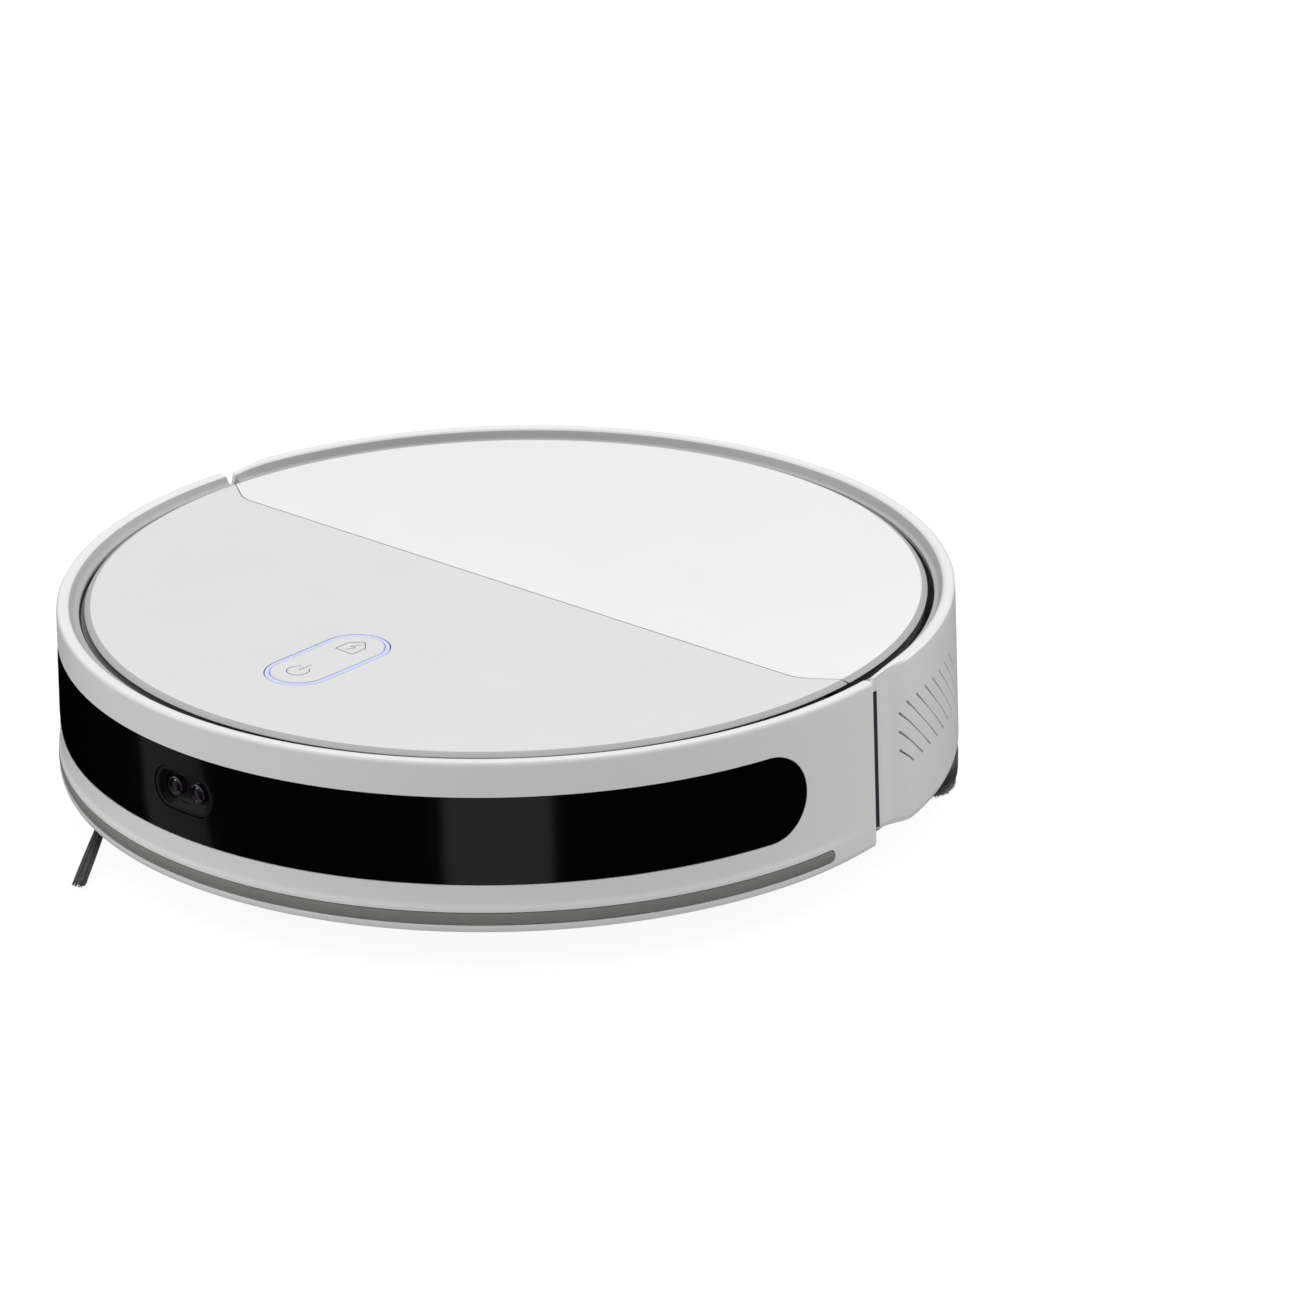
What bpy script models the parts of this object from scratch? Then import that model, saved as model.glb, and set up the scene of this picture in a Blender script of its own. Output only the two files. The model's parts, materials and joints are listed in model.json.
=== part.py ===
"""Low round robot vacuum: charging contacts at the back, sprung front bumper, lid over a lift-out dustbin.

The frame: +Z up, the floor at z = 0 under the wheels, the robot drives towards -Y, so its own left side is +X.
Lengths below are in millimetres and become metres in the helpers.
"""

import math

import bmesh
import bpy
import numpy as np
from mathutils import Matrix, Vector

MM = 0.001

# Driving dimensions
R_DECK = 149.7        # edge of the top disc
R_SKIRT = 151.5       # foot of the disc's bevelled edge
Z_DECK = 75.0         # top of the disc
Z_CREST = 76.3        # crest of the bumper's rim
Z_CREST_R = 77.2      # crest of the rear body's rim
R_TOP = 161.5         # outer wall just under the crest
R_LOW = 163.1         # outer wall at its lower edge
R_LIP = 163.8         # protruding lower lip of the bumper
Z_BUMPER = 14.9       # lower edge of the bumper
Z_REAR = 16.0         # lower edge of the rear body
A_END = 4.0           # the bumper ends this many degrees behind the side axis
Z_PAN = 12.5          # underside of the base
WHEEL_R, WHEEL_Z = 33.0, 33.0
WHEEL_X0, WHEEL_X1 = 97.0, 115.0
ARM_PIVOT = (-56.0, 34.0)          # y, z
BRUSH_Y, BRUSH_Z, BRUSH_R = 10.0, 21.0, 18.5
SIDE_BRUSH = (-93.0, -108.0)
CASTER = (0.0, -120.0)
FAN = (99.0, 83.0)
LID_AXIS = (139.0, 71.4)           # y, z of the lid hinge, at the back; fingers lift the lid's front corners
BIN = (-66.0, 66.0, 50.0, 130.0, 24.0, 68.0)
PILL_Y, PILL_R, PILL_HALF = -91.0, 10.6, 13.2   # button: centre, end radius, half the straight part
SEG = 72

for old in list(bpy.data.objects):
    bpy.data.objects.remove(old, do_unlink=True)
scene_root = bpy.context.scene.collection
parts = bpy.data.collections.new("robot_vacuum")
cutters = bpy.data.collections.new("cutters")
scene_root.children.link(parts)
scene_root.children.link(cutters)

PALETTE = {
    "shell_white": ((0.80, 0.80, 0.79), 0.25, 0.0),
    "deck_grey": ((0.70, 0.70, 0.70), 0.45, 0.0),
    "lid_white": ((0.85, 0.85, 0.85), 0.2, 0.0),
    "window_black": ((0.01, 0.01, 0.01), 0.05, 0.0),
    "strip_grey": ((0.25, 0.25, 0.23), 0.6, 0.0),
    "base_dark": ((0.03, 0.03, 0.032), 0.6, 0.0),
    "inner_grey": ((0.22, 0.22, 0.23), 0.6, 0.0),
    "tyre_black": ((0.02, 0.02, 0.02), 0.9, 0.0),
    "bristle_dark": ((0.04, 0.04, 0.04), 0.8, 0.0),
    "brush_rubber": ((0.10, 0.12, 0.16), 0.7, 0.0),
    "cloth_dark": ((0.05, 0.05, 0.055), 0.95, 0.0),
    "board_green": ((0.02, 0.12, 0.06), 0.5, 0.0),
    "battery_blue": ((0.05, 0.08, 0.20), 0.5, 0.0),
    "steel": ((0.6, 0.6, 0.62), 0.3, 1.0),
    "bin_smoke": ((0.10, 0.10, 0.11), 0.15, 0.0),
    "filter_white": ((0.85, 0.84, 0.80), 0.9, 0.0),
    "light_ring": ((0.55, 0.60, 0.95), 0.3, 0.0),
    "motor_grey": ((0.35, 0.35, 0.36), 0.4, 0.6),
}
MATERIALS = {}
for key, (rgb, rough, metal) in PALETTE.items():
    made = bpy.data.materials.new(key)
    made.use_nodes = True
    shader = made.node_tree.nodes["Principled BSDF"]
    shader.inputs["Base Color"].default_value = (*rgb, 1.0)
    shader.inputs["Roughness"].default_value = rough
    shader.inputs["Metallic"].default_value = metal
    MATERIALS[key] = made


def place(name, mesh, material=None, helper=False):
    """Links a mesh as a part, or as a hidden cutter."""
    obj = bpy.data.objects.new(name, mesh)
    (cutters if helper else parts).objects.link(obj)
    if helper:
        obj.hide_render = True
        obj.display_type = "WIRE"
    elif material:
        mesh.materials.clear()
        mesh.materials.append(MATERIALS[material])
        mesh.shade_smooth()
        mesh.set_sharp_from_angle(angle=math.radians(35))
    return obj


def to_mesh(bm, name):
    bmesh.ops.remove_doubles(bm, verts=bm.verts, dist=1e-6)
    bmesh.ops.recalc_face_normals(bm, faces=bm.faces)
    mesh = bpy.data.meshes.new(name)
    bm.to_mesh(mesh)
    bm.free()
    return mesh


def box(name, lo, hi, material=None, helper=False, bevel=0.0):
    bm = bmesh.new()
    bmesh.ops.create_cube(bm, size=1.0)
    lo, hi = Vector(lo) * MM, Vector(hi) * MM
    bmesh.ops.scale(bm, vec=hi - lo, verts=bm.verts)
    bmesh.ops.translate(bm, vec=(hi + lo) / 2, verts=bm.verts)
    obj = place(name, to_mesh(bm, name), material, helper)
    if bevel:
        rounded = obj.modifiers.new("edge", "BEVEL")
        rounded.width = bevel * MM
        rounded.segments = 2
        rounded.limit_method = "ANGLE"
    return obj


def rod(name, centre, radius, length, axis="Z", material=None, helper=False, segments=32, radius2=None):
    """A cylinder or cone with its middle at centre."""
    bm = bmesh.new()
    bmesh.ops.create_cone(
        bm, cap_ends=True, segments=segments, radius1=radius * MM,
        radius2=(radius if radius2 is None else radius2) * MM, depth=length * MM,
    )
    if axis == "X":
        bmesh.ops.rotate(bm, cent=(0, 0, 0), matrix=Matrix.Rotation(math.pi / 2, 3, "Y"), verts=bm.verts)
    elif axis == "Y":
        bmesh.ops.rotate(bm, cent=(0, 0, 0), matrix=Matrix.Rotation(math.pi / 2, 3, "X"), verts=bm.verts)
    bmesh.ops.translate(bm, vec=Vector(centre) * MM, verts=bm.verts)
    return place(name, to_mesh(bm, name), material, helper)


def lathe(name, profile, centre=(0, 0), material=None, helper=False, segments=SEG, axis="Z", along=0.0):
    """A profile of (radius, height) turned with a Screw modifier, top to bottom on its outer side."""
    mesh = bpy.data.meshes.new(name)
    points = [(r * MM, 0.0, z * MM) for r, z in profile]
    count = len(points)
    closed = profile[0][0] > 0 and profile[-1][0] > 0
    edges = [(i, i + 1) for i in range(count - 1)] + ([(count - 1, 0)] if closed else [])
    mesh.from_pydata(points, edges, [])
    obj = bpy.data.objects.new(name, mesh)
    cutters.objects.link(obj)
    turn = obj.modifiers.new("turn", "SCREW")
    turn.axis = "Z"
    turn.steps = turn.render_steps = segments
    turn.use_merge_vertices = True
    turn.merge_threshold = 1e-5
    graph = bpy.context.evaluated_depsgraph_get()
    turned = bpy.data.meshes.new_from_object(obj.evaluated_get(graph))
    bpy.data.objects.remove(obj)
    bm = bmesh.new()
    bm.from_mesh(turned)
    bpy.data.meshes.remove(turned)
    if axis == "X":
        bmesh.ops.rotate(bm, cent=(0, 0, 0), matrix=Matrix.Rotation(math.pi / 2, 3, "Y"), verts=bm.verts)
        bmesh.ops.translate(bm, vec=Vector((along, centre[0], centre[1])) * MM, verts=bm.verts)
    else:
        bmesh.ops.translate(bm, vec=Vector((centre[0], centre[1], along)) * MM, verts=bm.verts)
    return place(name, to_mesh(bm, name), material, helper)


def plate(name, loops, z0, z1, material=None, helper=False):
    """A flat outline with holes, as a filled 2D curve with thickness, then a mesh."""
    curve = bpy.data.curves.new(name, "CURVE")
    curve.dimensions = "2D"
    curve.fill_mode = "BOTH"
    curve.extrude = (z1 - z0) / 2 * MM
    for loop in loops:
        spline = curve.splines.new("POLY")
        spline.points.add(len(loop) - 1)
        for point, (x, y) in zip(spline.points, loop):
            point.co = (x * MM, y * MM, 0.0, 1.0)
        spline.use_cyclic_u = True
    outline = bpy.data.objects.new(name, curve)
    cutters.objects.link(outline)
    graph = bpy.context.evaluated_depsgraph_get()
    flat = bpy.data.meshes.new_from_object(outline.evaluated_get(graph))
    bpy.data.objects.remove(outline)
    bm = bmesh.new()
    bm.from_mesh(flat)
    bpy.data.meshes.remove(flat)
    bmesh.ops.translate(bm, vec=(0, 0, (z0 + z1) / 2 * MM), verts=bm.verts)
    return place(name, to_mesh(bm, name), material, helper)


def loft(name, sections, material=None, helper=False, cyclic=False):
    """Skins closed sections of equal point count, given in millimetres, and caps both ends."""
    bm = bmesh.new()
    rings = [[bm.verts.new(Vector(p) * MM) for p in section] for section in sections]
    count = len(sections[0])
    pairs = list(zip(rings, rings[1:])) + ([(rings[-1], rings[0])] if cyclic else [])
    for a, b in pairs:
        for i in range(count):
            j = (i + 1) % count
            bm.faces.new((a[i], a[j], b[j], b[i]))
    if not cyclic:
        bm.faces.new(rings[0][::-1])
        bm.faces.new(rings[-1])
    return place(name, to_mesh(bm, name), material, helper)


def boolean(obj, tools, operation="DIFFERENCE"):
    for tool in tools:
        step = obj.modifiers.new(operation.lower(), "BOOLEAN")
        step.operation = operation
        step.object = tool
        step.solver = "EXACT"


def arc(radius, a0, a1, count, cx=0.0, cy=0.0):
    return [
        (cx + radius * math.cos(math.radians(a)), cy + radius * math.sin(math.radians(a)))
        for a in np.linspace(a0, a1, count)
    ]


def rect(x0, x1, y0, y1, r=0.0, n=4):
    if r <= 0:
        return [(x0, y0), (x1, y0), (x1, y1), (x0, y1)]
    out = []
    for cx, cy, a in ((x0 + r, y0 + r, 180), (x1 - r, y0 + r, 270), (x1 - r, y1 - r, 0), (x0 + r, y1 - r, 90)):
        out += arc(r, a, a + 90, n, cx, cy)
    return out


def pill(radius, cy=PILL_Y, half=PILL_HALF, n=10):
    """Round-ended outline whose long axis runs along Y."""
    return arc(radius, 0, 180, n, 0, cy + half) + arc(radius, 180, 360, n, 0, cy - half)


def at(radius, degrees, z):
    a = math.radians(degrees)
    return (radius * math.cos(a), radius * math.sin(a), z)


def smooth(t):
    t = min(max(t, 0.0), 1.0)
    return t * t * (3 - 2 * t)


def wall_r(z):
    """Outer wall radius: a little wider at the foot."""
    return R_TOP + (R_LOW - R_TOP) * (74.0 - z) / (74.0 - 16.0)


def parting(x):
    """Y of the line between front deck and lid: straight, then bent rearwards near the rim."""
    w = 1.5
    return 0.68 * w * math.log1p(math.exp((abs(x) - 136.3) / w))


# ---------------------------------------------------------------- bumper
def bumper_section(theta):
    """Closed section of the bumper shell at an angle, as (radius, z), outside first."""
    ease = smooth((abs(abs(theta + 90) - (90 + A_END)) if abs(theta + 90) < 90 + A_END else 0) / 14.0)
    lip = (R_LIP - R_LOW) * ease
    return [
        (159.2, Z_CREST), (160.6, Z_CREST), (161.3, Z_CREST - 0.8), (R_TOP, 74.0),
        (wall_r(64.0), 64.0), (wall_r(48.0), 48.0), (wall_r(31.5), 31.5), (wall_r(26.0) + 0.2 * lip, 25.0),
        (wall_r(22.4) + lip, 23.4), (R_LOW + lip, 16.4), (R_LOW - 0.6 + lip, Z_BUMPER), (160.9, Z_BUMPER),
        (160.5, 20.0), (160.3, 34.0), (160.1, 62.0), (159.0, 71.4), (153.4, 71.6), (153.4, 73.0),
        (155.6, 73.4), (156.4, 75.0), (157.4, Z_CREST - 0.3),
    ]


ANGLES_FRONT = list(np.linspace(-180 - A_END, A_END, 45))
bumper = loft(
    "bumper_shell",
    [[at(r, t, z) for r, z in bumper_section(t)] for t in ANGLES_FRONT],
    "shell_white",
)


def band(name, outline, r_out, r_in, material=None, helper=False, n=None, rows=1):
    """A curved panel: outline of (degrees, z) round the wall, from r_in(z) to r_out(z)."""
    sections = []
    for depth in (0, 1):
        sections.append([at((r_out if depth == 0 else r_in)(z), a, z) for a, z in outline])
    bm = bmesh.new()
    outer = [bm.verts.new(Vector(p) * MM) for p in sections[0]]
    inner = [bm.verts.new(Vector(p) * MM) for p in sections[1]]
    count = len(outline)
    half = count // 2
    # The outline runs along the lower edge and back along the upper edge, so strips join facing points.
    for i in range(half - 1):
        bm.faces.new((outer[i], outer[i + 1], outer[count - 2 - i], outer[count - 1 - i]))
        bm.faces.new((inner[count - 1 - i], inner[count - 2 - i], inner[i + 1], inner[i]))
    for i in range(count):
        j = (i + 1) % count
        bm.faces.new((outer[j], outer[i], inner[i], inner[j]))
    return place(name, to_mesh(bm, name), material, helper)


def stadium(a0, a1, z0, z1, n, scale=162.5):
    """Outline of (degrees, z): lower edge left to right, upper edge right to left, with round ends."""
    radius = (z1 - z0) / 2
    ends = math.degrees(radius / scale)
    turn = [math.radians(t) for t in np.linspace(-90, 0, 7)]
    lower = [(a0 + ends - ends * math.cos(t), (z0 + z1) / 2 + radius * math.sin(t)) for t in reversed(turn)]
    lower += [(a, z0) for a in np.linspace(a0 + ends, a1 - ends, n)[1:-1]]
    lower += [(a1 - ends + ends * math.cos(t), (z0 + z1) / 2 + radius * math.sin(t)) for t in turn]
    upper = [(a, z1 + z0 - z) for a, z in reversed(lower)]
    return lower + upper[0:]


# the window runs round the front in a shallow pocket of the bumper
WINDOW = (-180 + 8.3, -8.3, 32.2, 63.5)
window_outline = stadium(*WINDOW, 34)
window_pocket = stadium(WINDOW[0] - 0.12, WINDOW[1] + 0.12, WINDOW[2] - 0.3, WINDOW[3] + 0.3, 34)
# pocket depth stops 1.2 mm short of the inner wall
pocket = band("window_pocket", window_pocket, lambda z: wall_r(z) + 2.0, lambda z: wall_r(z) - 1.5, helper=True)
port_half = math.degrees(7.6 / 162.5)
port_hole = band(
    "port_hole", stadium(-90 - port_half * 1.9, -90 + port_half * 1.9, 41.6, 57.2, 4),
    lambda z: wall_r(z) + 3.0, lambda z: wall_r(z) - 8.0, helper=True)
strip_groove = band(
    "strip_groove", stadium(-180 + 3.9, -3.9, 17.6, 22.4, 36),
    lambda z: 167.0, lambda z: 162.2, helper=True)
boolean(bumper, [pocket, strip_groove, port_hole])

window = band("ir_window", window_outline, lambda z: wall_r(z) + 0.1, lambda z: wall_r(z) - 1.2, "window_black")
boolean(window, [port_hole])
band("bump_strip", stadium(-180 + 4.1, -4.1, 17.9, 22.1, 36), lambda z: 163.9, lambda z: 162.5, "strip_grey")
port_bezel = band(
    "port_bezel", stadium(-90 - port_half * 1.82, -90 + port_half * 1.82, 41.95, 56.85, 4),
    lambda z: wall_r(z) - 0.2, lambda z: wall_r(z) - 4.7, "window_black")
port_inner = band(
    "port_inner", stadium(-90 - port_half * 1.62, -90 + port_half * 1.62, 43.1, 55.7, 4),
    lambda z: wall_r(z) + 2.0, lambda z: wall_r(z) - 3.8, helper=True)
boolean(port_bezel, [port_inner])
for side, x in (("left", 5.4), ("right", -5.4)):
    rod("laser_lens_" + side, (x, -159.8, 49.4), 3.6, 2.2, "Y", "window_black", segments=24)

# ---------------------------------------------------------------- rear body
def rim(theta):
    """0 where the rear rim is level with the deck at the robot's sides, 1 at full height."""
    s = min(theta, 180 - theta)
    t = min(max((s - 4.4) / 8.0, 0.0), 1.0)
    return math.sqrt(max(0.0, 1 - (1 - t) ** 2))


def rear_section(theta):
    s = min(theta, 180 - theta)
    # Tucked inside the bumper's end, and lower there, so that the bumper can slide back over it.
    inset = 2.4 * (1 - smooth((s - 7.6) / 5.0)) + 0.8 * (1 - smooth((s - 5.4) / 1.4))
    drop = 2.6 if s < 5.4 else 0.0
    h = 0.0 if s < 5.4 else rim(theta)
    top = 73.6 - drop + (Z_CREST_R - 73.6) * h
    knee = min(top - 0.6, 73.6)
    foot = Z_REAR + 2.6 * (1 - smooth((s - 5) / 9.0))
    return [
        (158.6, top), (160.2 - 0.5 * inset, top - 0.1), (161.2 - inset, top - 0.8), (R_TOP - inset, knee - 0.5),
        (wall_r(60) - inset, 60.0), (wall_r(36) - inset, 36.0), (wall_r(foot + 2) - inset, foot + 2.0),
        (wall_r(foot) - 0.5 - inset, foot), (160.4 - inset, foot), (159.9 - inset, 36.0), (159.3 - inset, 60.0),
        (158.0 - inset * 0.6, 70.6 - drop), (153.9, 71.2 - drop), (153.9, 73.0 - drop), (155.4, 73.2 - drop),
        (156.2, 73.4 - drop + 1.4 * h), (157.2, 73.5 - drop + 3.2 * h),
    ]


ANGLES_REAR = [4.6, 5.3, 5.7, 7, 8.6, 10.4, 12.6] + list(np.linspace(15, 165, 33)) + [167.4, 169.6, 171.4, 173, 174.3, 174.7, 175.4]
rear = loft("rear_body_shell", [[at(r, t, z) for r, z in rear_section(t)] for t in ANGLES_REAR], "shell_white")


def slot_cutter(name, a_low, sign):
    """One slanted louvre, 1 mm wide, cut straight through the wall."""
    a0 = a_low
    a1 = a_low - 9.3
    z0, z1 = 37.1, 61.5
    if a1 < 10.5:
        z1 = z0 + (z1 - z0) * (a0 - 10.5) / 9.3
        a1 = 10.5
    half = math.degrees(0.65 / 162)
    sections = []
    for r in (154.0, 168.0):
        ring = [at(r, a0 - half, z0), at(r, a0 + half, z0), at(r, a1 + half, z1), at(r, a1 - half, z1)]
        sections.append([(sign * x, y, z) for x, y, z in ring])
    return loft(name, sections, helper=True)


slots = []
for k in range(10):
    for side, sign in (("left", 1), ("right", -1)):
        slots.append(slot_cutter(f"vent_{side}_{k}", 13.3 + 2.67 * k, sign))
contact_cut = [box(f"contact_cut_{s}", (x - 6.3, 155, 23.7), (x + 6.3, 166, 36.3), helper=True) for s, x in (("left", 18), ("right", -18))]
ir_cut = box("ir_cut", (-10.3, 155, 44.7), (10.3, 166, 57.3), helper=True)
boolean(rear, slots + contact_cut + [ir_cut])
for s, x in (("left", 18), ("right", -18)):
    box("charge_contact_" + s, (x - 6, 157.6, 24), (x + 6, 162.3, 36), "steel", bevel=0.6)
box("rear_ir_window", (-10, 158.4, 45), (10, 162.2, 57), "window_black", bevel=0.6)

# ---------------------------------------------------------------- front deck and lid
DECK_RINGS = ((R_DECK - 0.4, Z_DECK, 0.0), (R_DECK, Z_DECK - 0.15, 0.0), (R_SKIRT, 73.7, 0.9), (R_SKIRT - 0.1, 73.4, 1.3))


def side_angle(radius, shift):
    """Angle at which the parting curve, moved along Y, meets a circle."""
    a = 3.0
    for _ in range(40):
        a = math.degrees(math.asin((parting(radius * math.cos(math.radians(a))) + shift) / radius))
    return a


def deck_outline(radius, back):
    a = side_angle(radius, -0.22 - back)
    pts = arc(radius, -180 - a, a, 45)
    xs = [x for x in np.concatenate([np.linspace(radius * math.cos(math.radians(a)), 134, 9)[1:], np.linspace(-134, -radius * math.cos(math.radians(a)), 9)[:-1]])]
    return pts + [(x, parting(x) - 0.22 - back) for x in xs]


def lid_outline(radius, back):
    a = side_angle(radius, 0.22 + back)
    pts = arc(radius, a, 180 - a, 45)
    edge = radius * math.cos(math.radians(a))
    xs = np.concatenate([np.linspace(-edge, -134, 9)[1:], np.linspace(134, edge, 9)[:-1]])
    return pts + [(x, parting(x) + 0.22 + back) for x in xs]


deck = loft("front_deck", [[(x, y, z) for x, y in deck_outline(r, u * 1.2)] for r, z, u in DECK_RINGS], "deck_grey")
deck_web = loft(
    "deck_web",
    [[at(r, t, z) for r, z in ((145.8, 73.6), (145.8, 71.2), (153.0, 71.2), (153.0, 70.0), (143.4, 70.0), (143.4, 73.6))]
     for t in np.linspace(-180 + 0.2, -0.2, 37)], helper=True)
pill_hole = plate("pill_hole", [pill(PILL_R + 2.3)], 60, 90, helper=True)
pill_collar = plate("pill_collar", [pill(PILL_R + 4.2), pill(PILL_R + 2.3)[::-1]], 68.0, 73.9, helper=True)
boolean(deck, [deck_web, pill_collar], "UNION")
boolean(deck, [pill_hole])

lid = loft("rear_lid", [[(x, y, z) for x, y in lid_outline(min(r, R_SKIRT - 0.4), u)] for r, z, u in DECK_RINGS], "lid_white")
lid_lugs = []
for s, x in (("left", 40), ("right", -40)):
    lug = box("lid_lug_" + s, (x - 3, 136.9, 69.3), (x + 3, 141.1, 73.8), helper=True)
    lid_lugs.append(lug)
boolean(lid, lid_lugs, "UNION")
lid_bore = rod("lid_bore", (0, *LID_AXIS), 1.05, 90, "X", helper=True, segments=20)
boolean(lid, [lid_bore])
for s, x in (("left", 42.6), ("right", -42.6)):
    rod("lid_hinge_pin_" + s, (x, *LID_AXIS), 0.75, 11.0, "X", "steel", segments=20)

# ---------------------------------------------------------------- button group
plate("button_light_ring", [pill(PILL_R + 2.0), pill(PILL_R + 0.35)[::-1]], 71.0, 75.15, "light_ring")
rocker = plate("control_rocker", [pill(PILL_R)], 72.6, 75.3, "deck_grey")
rocker_stem = box("rocker_stem", (-5, PILL_Y - 1.2, 69.2), (5, PILL_Y + 1.2, 73.0), helper=True)
boolean(rocker, [rocker_stem], "UNION")
plate("control_board", [rect(-13, 13, -122, -60, 2)], 66.2, 67.7, "board_green")
plate("main_board", [rect(-62, 62, -84, -24, 3)], 52.0, 53.6, "board_green")
plate("radio_shield", [rect(20, 50, -70, -40, 1.5)], 53.9, 57.4, "steel")

# ---------------------------------------------------------------- base
pan = lathe("base_pan", [(0, 14.9), (141.5, 14.9), (156.8, 17.0), (156.8, 15.4), (142.5, Z_PAN), (0, Z_PAN)], material="base_dark", segments=72)
front_wall = loft(
    "front_wall", [[at(r, t, z) for r, z in ((154.0, 69.7), (154.0, 15.6), (151.6, 15.6), (151.6, 69.7))] for t in np.linspace(-179, -1, 37)], helper=True)
boolean(pan, [front_wall], "UNION")
well_cuts = [box(f"well_{s}", (min(x0, x1), -67, 5), (max(x0, x1), 38, 30), helper=True) for s, x0, x1 in (("l", 87.6, 118.6), ("r", -118.6, -87.6))]
pan_cuts = well_cuts + [
    box("mouth_cut", (-82.5, -11.5, 5), (82.5, 31.5, 30), helper=True),
    box("battery_cut", (-40, -96, 5), (40, -28, 30), helper=True),
    rod("caster_cut", (*CASTER, 15), 17.6, 30, helper=True, segments=36),
    rod("side_brush_cut", (*SIDE_BRUSH, 15), 13.6, 30, helper=True, segments=36),
    rod("side_motor_room", (*SIDE_BRUSH, 38), 12.7, 40, helper=True, segments=36),
]
CLIFFS = {"front_left": (36, -134), "front_right": (-36, -134), "left": (112, -78), "right": (-126, -56)}
for key, (x, y) in CLIFFS.items():
    pan_cuts.append(box("cliff_cut_" + key, (x - 9, y - 4.3, 5), (x + 9, y + 4.3, 30), helper=True))
boolean(pan, pan_cuts)
for key, (x, y) in CLIFFS.items():
    box("cliff_sensor_" + key, (x - 8.7, y - 4.0, 13.0), (x + 8.7, y + 4.0, 19.5), "window_black")

door = plate("battery_door", [rect(-39.7, 39.7, -95.7, -28.3, 3)], Z_PAN, 14.7, "base_dark")
door_holes = [rod(f"door_hole_{i}", (x, -90, 13), 2.0, 8, helper=True, segments=20) for i, x in enumerate((-32, 32))]
boolean(door, door_holes)
for s, x in (("left", 32), ("right", -32)):
    lathe("battery_door_screw_" + s, [(0, 18.5), (1.4, 18.5), (1.6, 13.9), (1.6, 13.6), (1.6, 12.9), (0, 12.9)], (x, -90), "steel", segments=20)
box("battery_pack", (-36, -84, 15.2), (36, -30, 37), "battery_blue", bevel=2.0)
rod("speaker", (98, -92, 40), 13, 12, "Z", "motor_grey", segments=32)

# ---------------------------------------------------------------- brush chamber
chamber = box("brush_chamber", (-85, -14, 15.2), (85, 34, 45), "inner_grey")
duct = box("duct", (-44, 30, 25.5), (44, 45.7, 43), helper=True)
boolean(chamber, [duct], "UNION")
boolean(chamber, [
    box("chamber_inner", (-82.5, -11.5, 10), (82.5, 31.5, 42.5), helper=True),
    box("duct_inner", (-41.5, 28, 28), (41.5, 50, 40.5), helper=True),
    rod("chamber_bores", (0, BRUSH_Y, BRUSH_Z), 3.4, 200, "X", helper=True, segments=24),
])


def star(twist):
    pts = []
    for k in range(6):
        for da, r in ((-9, 11.0), (-4.2, BRUSH_R - 0.6), (0, BRUSH_R), (4.2, BRUSH_R - 0.6), (9, 11.0), (30, 10.4)):
            a = math.radians(60 * k + da + twist)
            pts.append((BRUSH_Y + r * math.cos(a), BRUSH_Z + r * math.sin(a)))
    return pts


roller = loft("main_brush_roller", [[(x, y, z) for y, z in star(0.55 * abs(x) * 1.0)] for x in np.linspace(-77, 77, 9)], "brush_rubber")
boolean(roller, [rod("roller_shaft", (0, BRUSH_Y, BRUSH_Z), 3.0, 168.5, "X", helper=True, segments=24)], "UNION")
guard = plate("brush_guard", [rect(-86, 86, -17, 38, 4), rect(-78, 78, -9, 29, 2)[::-1]], 9.9, 12.2, "base_dark")

# ---------------------------------------------------------------- drive: motor, gearbox, fan
rod("main_brush_motor", (60, -22, 32), 7.5, 34, "X", "motor_grey", segments=28)
fan_r = 23.0
lathe("fan_housing", [(fan_r, 38.0), (fan_r, 18.0), (9.0, 18.0), (9.0, 20.0), (fan_r - 2.0, 20.0), (fan_r - 2.0, 38.0)], FAN, "inner_grey", segments=28)


def blades():
    pts = []
    for k in range(9):
        for da, r in ((-16, 7.0), (-4, 17.5), (4, 18.0), (2, 7.0)):
            a = math.radians(40 * k + da)
            pts.append((FAN[0] + r * math.cos(a), FAN[1] + r * math.sin(a)))
    return pts


impeller = loft("impeller", [[(x, y, z) for x, y in blades()] for z in (22.0, 31.0)], "motor_grey")
boolean(impeller, [rod("impeller_plate", (*FAN, 32.0), 18.3, 2.4, helper=True, segments=36)], "UNION")
rod("fan_motor", (*FAN, 49.5), 14.0, 32.0, "Z", "motor_grey", segments=32)
motor_side = rod("side_brush_motor", (*SIDE_BRUSH, 35), 12.0, 34, "Z", "motor_grey", segments=32)
boolean(motor_side, [rod("side_bore", (*SIDE_BRUSH, 16), 3.2, 16.0, helper=True, segments=24)])

# ---------------------------------------------------------------- bin bay, dustbin
X0, X1, Y0, Y1, ZB, ZT = BIN
bay = plate("bin_bay", [lid_outline(150.6, 8.0)], 67.0, 69.4, "inner_grey")
bay_block = plate("bay_block", [rect(X0 - 3.4, X1 + 3.4, Y0 - 3.4, Y1 + 3.4, 11.4, 6)], 20.0, 68.2, helper=True)
bay_inner = plate("bay_inner", [rect(X0 - 1.6, X1 + 1.6, Y0 - 1.6, Y1 + 1.6, 9.6, 6)], 22.4, 80.0, helper=True)
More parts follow.
